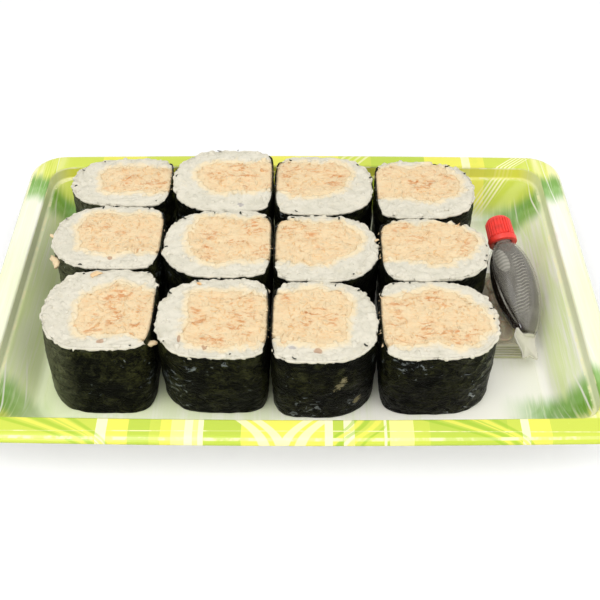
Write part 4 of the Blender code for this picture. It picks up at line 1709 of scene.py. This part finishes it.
class SUSHI_OT_sachet(Operator):
    """Fills the film sachet with slices of ginger"""

    bl_idname = "sushi.sachet"
    bl_label = "Ginger sachet"

    def execute(self, context):
        settings = context.scene.sushi.sachet
        rings, seals = sachet_rings(settings.crimps)
        film = Shape().closed(rings, seal=seals).piece("sachet_film", film_paint(settings))
        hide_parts("ginger_sachet")
        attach(film, "root")
        self.lay_slices(settings)
        return {"FINISHED"}

    def lay_slices(self, settings):
        chance = random.Random(12)
        places, _, heights = table_columns(SACHET_STATIONS)
        turns = circle(28)
        out = np.linspace(0.1, 1.0, 6)
        levels = [(-0.3, reach) for reach in out] + [(0.3, reach) for reach in out[::-1]]
        shape = Shape()
        for number in range(settings.slices):
            y = -15.0 + 25.0 * number / max(1, settings.slices - 1)
            room = smooth_through(y, places, heights)
            z = FLOOR + GAP + (0.9 + (room - 2.2) * chance.uniform(0.2, 0.9)) * MM
            x = SACHET_CENTRE_X + chance.uniform(-1.0, 1.0) * MM
            long, wide = chance.uniform(4.6, 6.0) * MM, chance.uniform(3.6, 4.6) * MM
            yaw = chance.uniform(-0.6, 0.6)
            rows = []
            for level, reach in levels:
                u, v = np.cos(turns) * wide * reach, np.sin(turns) * long * reach
                wave = 0.35 * np.sin(u * 900 + number) + 0.3 * np.sin(v * 700 + number * 2)
                left, front = turned(u, v, yaw)
                rows.append(xyz(x + left, y * MM + front, z + (wave + level) * MM))
            shape.closed(rows)
        slices = shape.piece("ginger_slices", ginger_paint(settings))
        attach(slices, "root")


# Crumbs

# Where each bit of fish or rice lies, its length, width and height, in millimetres, and its turn
TUNA_CRUMBS = (
    (-94.7, -3.0, 31.0, 8.5, 3.2, 2.4, -60.0),
    (-96.8, 11.0, 32.6, 4.6, 1.6, 1.0, 165.0),
    (-76.0, -13.9, 34.2, 5.6, 2.6, 1.0, 35.0),
    (-36.0, -18.9, 34.2, 2.6, 1.2, 0.8, -20.0),
    (-50.9, -46.8, 30.6, 4.4, 2.3, 2.0, 20.0),
    (-27.0, 19.5, 34.4, 3.4, 1.3, 0.8, 10.0),
    (33.0, 6.5, 34.2, 2.4, 1.2, 0.8, 40.0),
)
FLECKS_PER_ROLL = 4
# Least and greatest length, width and height of a fleck, in millimetres
FLECK_SIZES = ((0.8, 2.4), (0.4, 0.8), (0.25, 0.5))


def lump(shape, place, sizes, turn, seed):
    """An uneven oval crumb."""
    long, wide, high = sizes
    angles = circle(10)
    rows = []
    for share in np.linspace(0.0, 1.0, 9)[1:-1]:
        swell = math.sin(math.pi * share) ** 0.6 / 2
        y, z = np.cos(angles) * swell * wide, np.sin(angles) * swell * high
        rows.append(xyz((share - 0.5) * long, y, z))
    rows = np.array(rows) * MM
    uneven = rolling_noise(rows.reshape(-1, 3) + seed * 0.013, 1.2 * MM, seed).reshape(rows.shape[:2])
    x, y, z = np.moveaxis(rows * (1.0 + 0.35 * uneven[..., None]), -1, 0)
    y = y + 0.12 * long * MM * np.cos(x / (long * MM) * 4.0)
    rows = xyz(*turned(x, y, turn), z) + np.array(place) * MM
    shape.closed(rows, shade=(0.1 + 0.21 * seed) % 0.9, stain=0.5)


class SUSHI_OT_crumbs(Operator):
    """Drops crumbs of fish and flecks of seaweed on the rolls"""

    bl_idname = "sushi.crumbs"
    bl_label = "Crumbs"

    def execute(self, context):
        chance = random.Random(31)
        crumbs = Shape()
        for number, crumb in enumerate(TUNA_CRUMBS):
            lump(crumbs, crumb[:3], crumb[3:6], math.radians(crumb[6]), number)
        fish = crumbs.piece("tuna_crumbs", bpy.data.materials["tuna_salad"])
        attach(fish, "root")
        flecks = Shape()
        for number, roll in enumerate(ROLLS):
            for fleck in range(FLECKS_PER_ROLL):
                turn = np.array([chance.uniform(0.9, 5.4)])
                plan = outline_points(roll, turn, chance.uniform(0.4, 2.0) * MM)
                place = stand_up(roll, plan, (roll.top - 0.5) * MM)[0] / MM
                sizes = [chance.uniform(*ends) for ends in FLECK_SIZES]
                lump(flecks, place, sizes, chance.uniform(0.0, math.pi), fleck)
        seaweed = flecks.piece("seaweed_flecks", bpy.data.materials["seaweed"])
        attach(seaweed, "root")
        return {"FINISHED"}


# Stage

# Each light's name, place and size in metres, and power in watts. All face the tray.
LIGHTS = (
    ("key", (-0.28, -0.35, 0.85), (0.7, 0.7), 3.0),
    ("fill", (0.6, -0.3, 0.6), (0.9, 0.9), 2.1),
    ("low", (-0.3, -0.85, 0.4), (0.12, 0.12), 1.0),
    ("back", (0.0, 0.5, 0.85), (1.0, 0.7), 0.8),
)
STUDIO_GLOW = 0.72
FLOOR_REACH = 3.0
# The camera looks down at the tray by its pitch, and its yaw turns it left, both in degrees
CAMERA_PLACE = (0.0034, -0.2955, 0.2955)
CAMERA_PITCH = 44.2748
CAMERA_YAW = 0.2


class SUSHI_OT_stage(Operator):
    """Lays the pale floor, hangs the soft lights and sets the camera"""

    bl_idname = "sushi.stage"
    bl_label = "Stage"

    def execute(self, context):
        settings = context.scene.sushi.stage
        paint = Paint("pale_floor", Roughness=0.6)
        speck = paint.noise(40.0, 2.0)
        darker = tuple(0.985 * part for part in settings.floor)
        floor_finish = paint.finish(Base_Color=paint.mix(speck, settings.floor, darker))
        corners = ((-1, -1), (1, -1), (1, 1), (-1, 1))
        points = [(x * FLOOR_REACH, y * FLOOR_REACH, 0.0) for x, y in corners]
        floor = new_piece("floor", points, [(0, 1, 2, 3)], floor_finish, facing="up")
        for name, place, size, power in LIGHTS:
            self.light(name, place, size, power)
        world = bpy.data.worlds.new("studio")
        world.use_nodes = True
        background = world.node_tree.nodes["Background"]
        background.inputs["Color"].default_value = (1.0, 1.0, 1.0, 1.0)
        background.inputs["Strength"].default_value = STUDIO_GLOW
        context.scene.world = world
        context.scene.view_settings.view_transform = "Standard"
        camera = in_scene("camera", bpy.data.cameras.new("camera"))
        camera.data.lens = 60.0
        camera.data.sensor_width = 36.0
        camera.data.clip_start = 0.01
        camera.location = CAMERA_PLACE
        camera.rotation_euler = (math.radians(90.0 - CAMERA_PITCH), 0.0, math.radians(CAMERA_YAW))
        context.scene.camera = camera
        return {"FINISHED"}

    def light(self, name, place, size, power):
        lamp = bpy.data.lights.new(name, "AREA")
        lamp.shape = "RECTANGLE"
        lamp.size, lamp.size_y = size
        lamp.energy = power
        made = in_scene(name, lamp)
        made.location = place
        made.rotation_euler = (-Vector(place)).to_track_quat("-Z", "Y").to_euler()


OPERATORS = (
    SUSHI_OT_stage,
    SUSHI_OT_tray,
    SUSHI_OT_seaweed,
    SUSHI_OT_rice,
    SUSHI_OT_tuna,
    SUSHI_OT_bottle,
    SUSHI_OT_cap,
    SUSHI_OT_sachet,
    SUSHI_OT_crumbs,
)


class SUSHI_PT_panel(Panel):
    """Lists the pieces of the tray"""

    bl_label = "Sushi tray"
    bl_idname = "SUSHI_PT_panel"
    bl_space_type = "VIEW_3D"
    bl_region_type = "UI"
    bl_category = "Sushi"

    def draw(self, context):
        for operator in OPERATORS:
            self.layout.operator(operator.bl_idname)
        for part in ("tray", "seaweed", "rice", "tuna", "bottle", "sachet", "stage"):
            box = self.layout.box()
            box.label(text=part.capitalize())
            settings = getattr(context.scene.sushi, part)
            for setting in settings.bl_rna.properties.keys():
                if setting not in ("rna_type", "name"):
                    box.prop(settings, setting)


CLASSES = (
    TraySettings,
    SeaweedSettings,
    RiceSettings,
    TunaSettings,
    BottleSettings,
    SachetSettings,
    StageSettings,
    SushiSettings,
    *OPERATORS,
    SUSHI_PT_panel,
)


def register():
    for made in CLASSES:
        bpy.utils.register_class(made)
    bpy.types.Scene.sushi = PointerProperty(type=SushiSettings)


def unregister():
    del bpy.types.Scene.sushi
    for made in reversed(CLASSES):
        bpy.utils.unregister_class(made)


def main():
    register()
    bpy.ops.sushi.stage()
    bpy.ops.sushi.tray()
    bpy.ops.sushi.seaweed()
    bpy.ops.sushi.rice()
    bpy.ops.sushi.tuna()
    bpy.ops.sushi.bottle()
    bpy.ops.sushi.cap()
    bpy.ops.sushi.sachet()
    bpy.ops.sushi.crumbs()


if __name__ == "__main__":
    main()
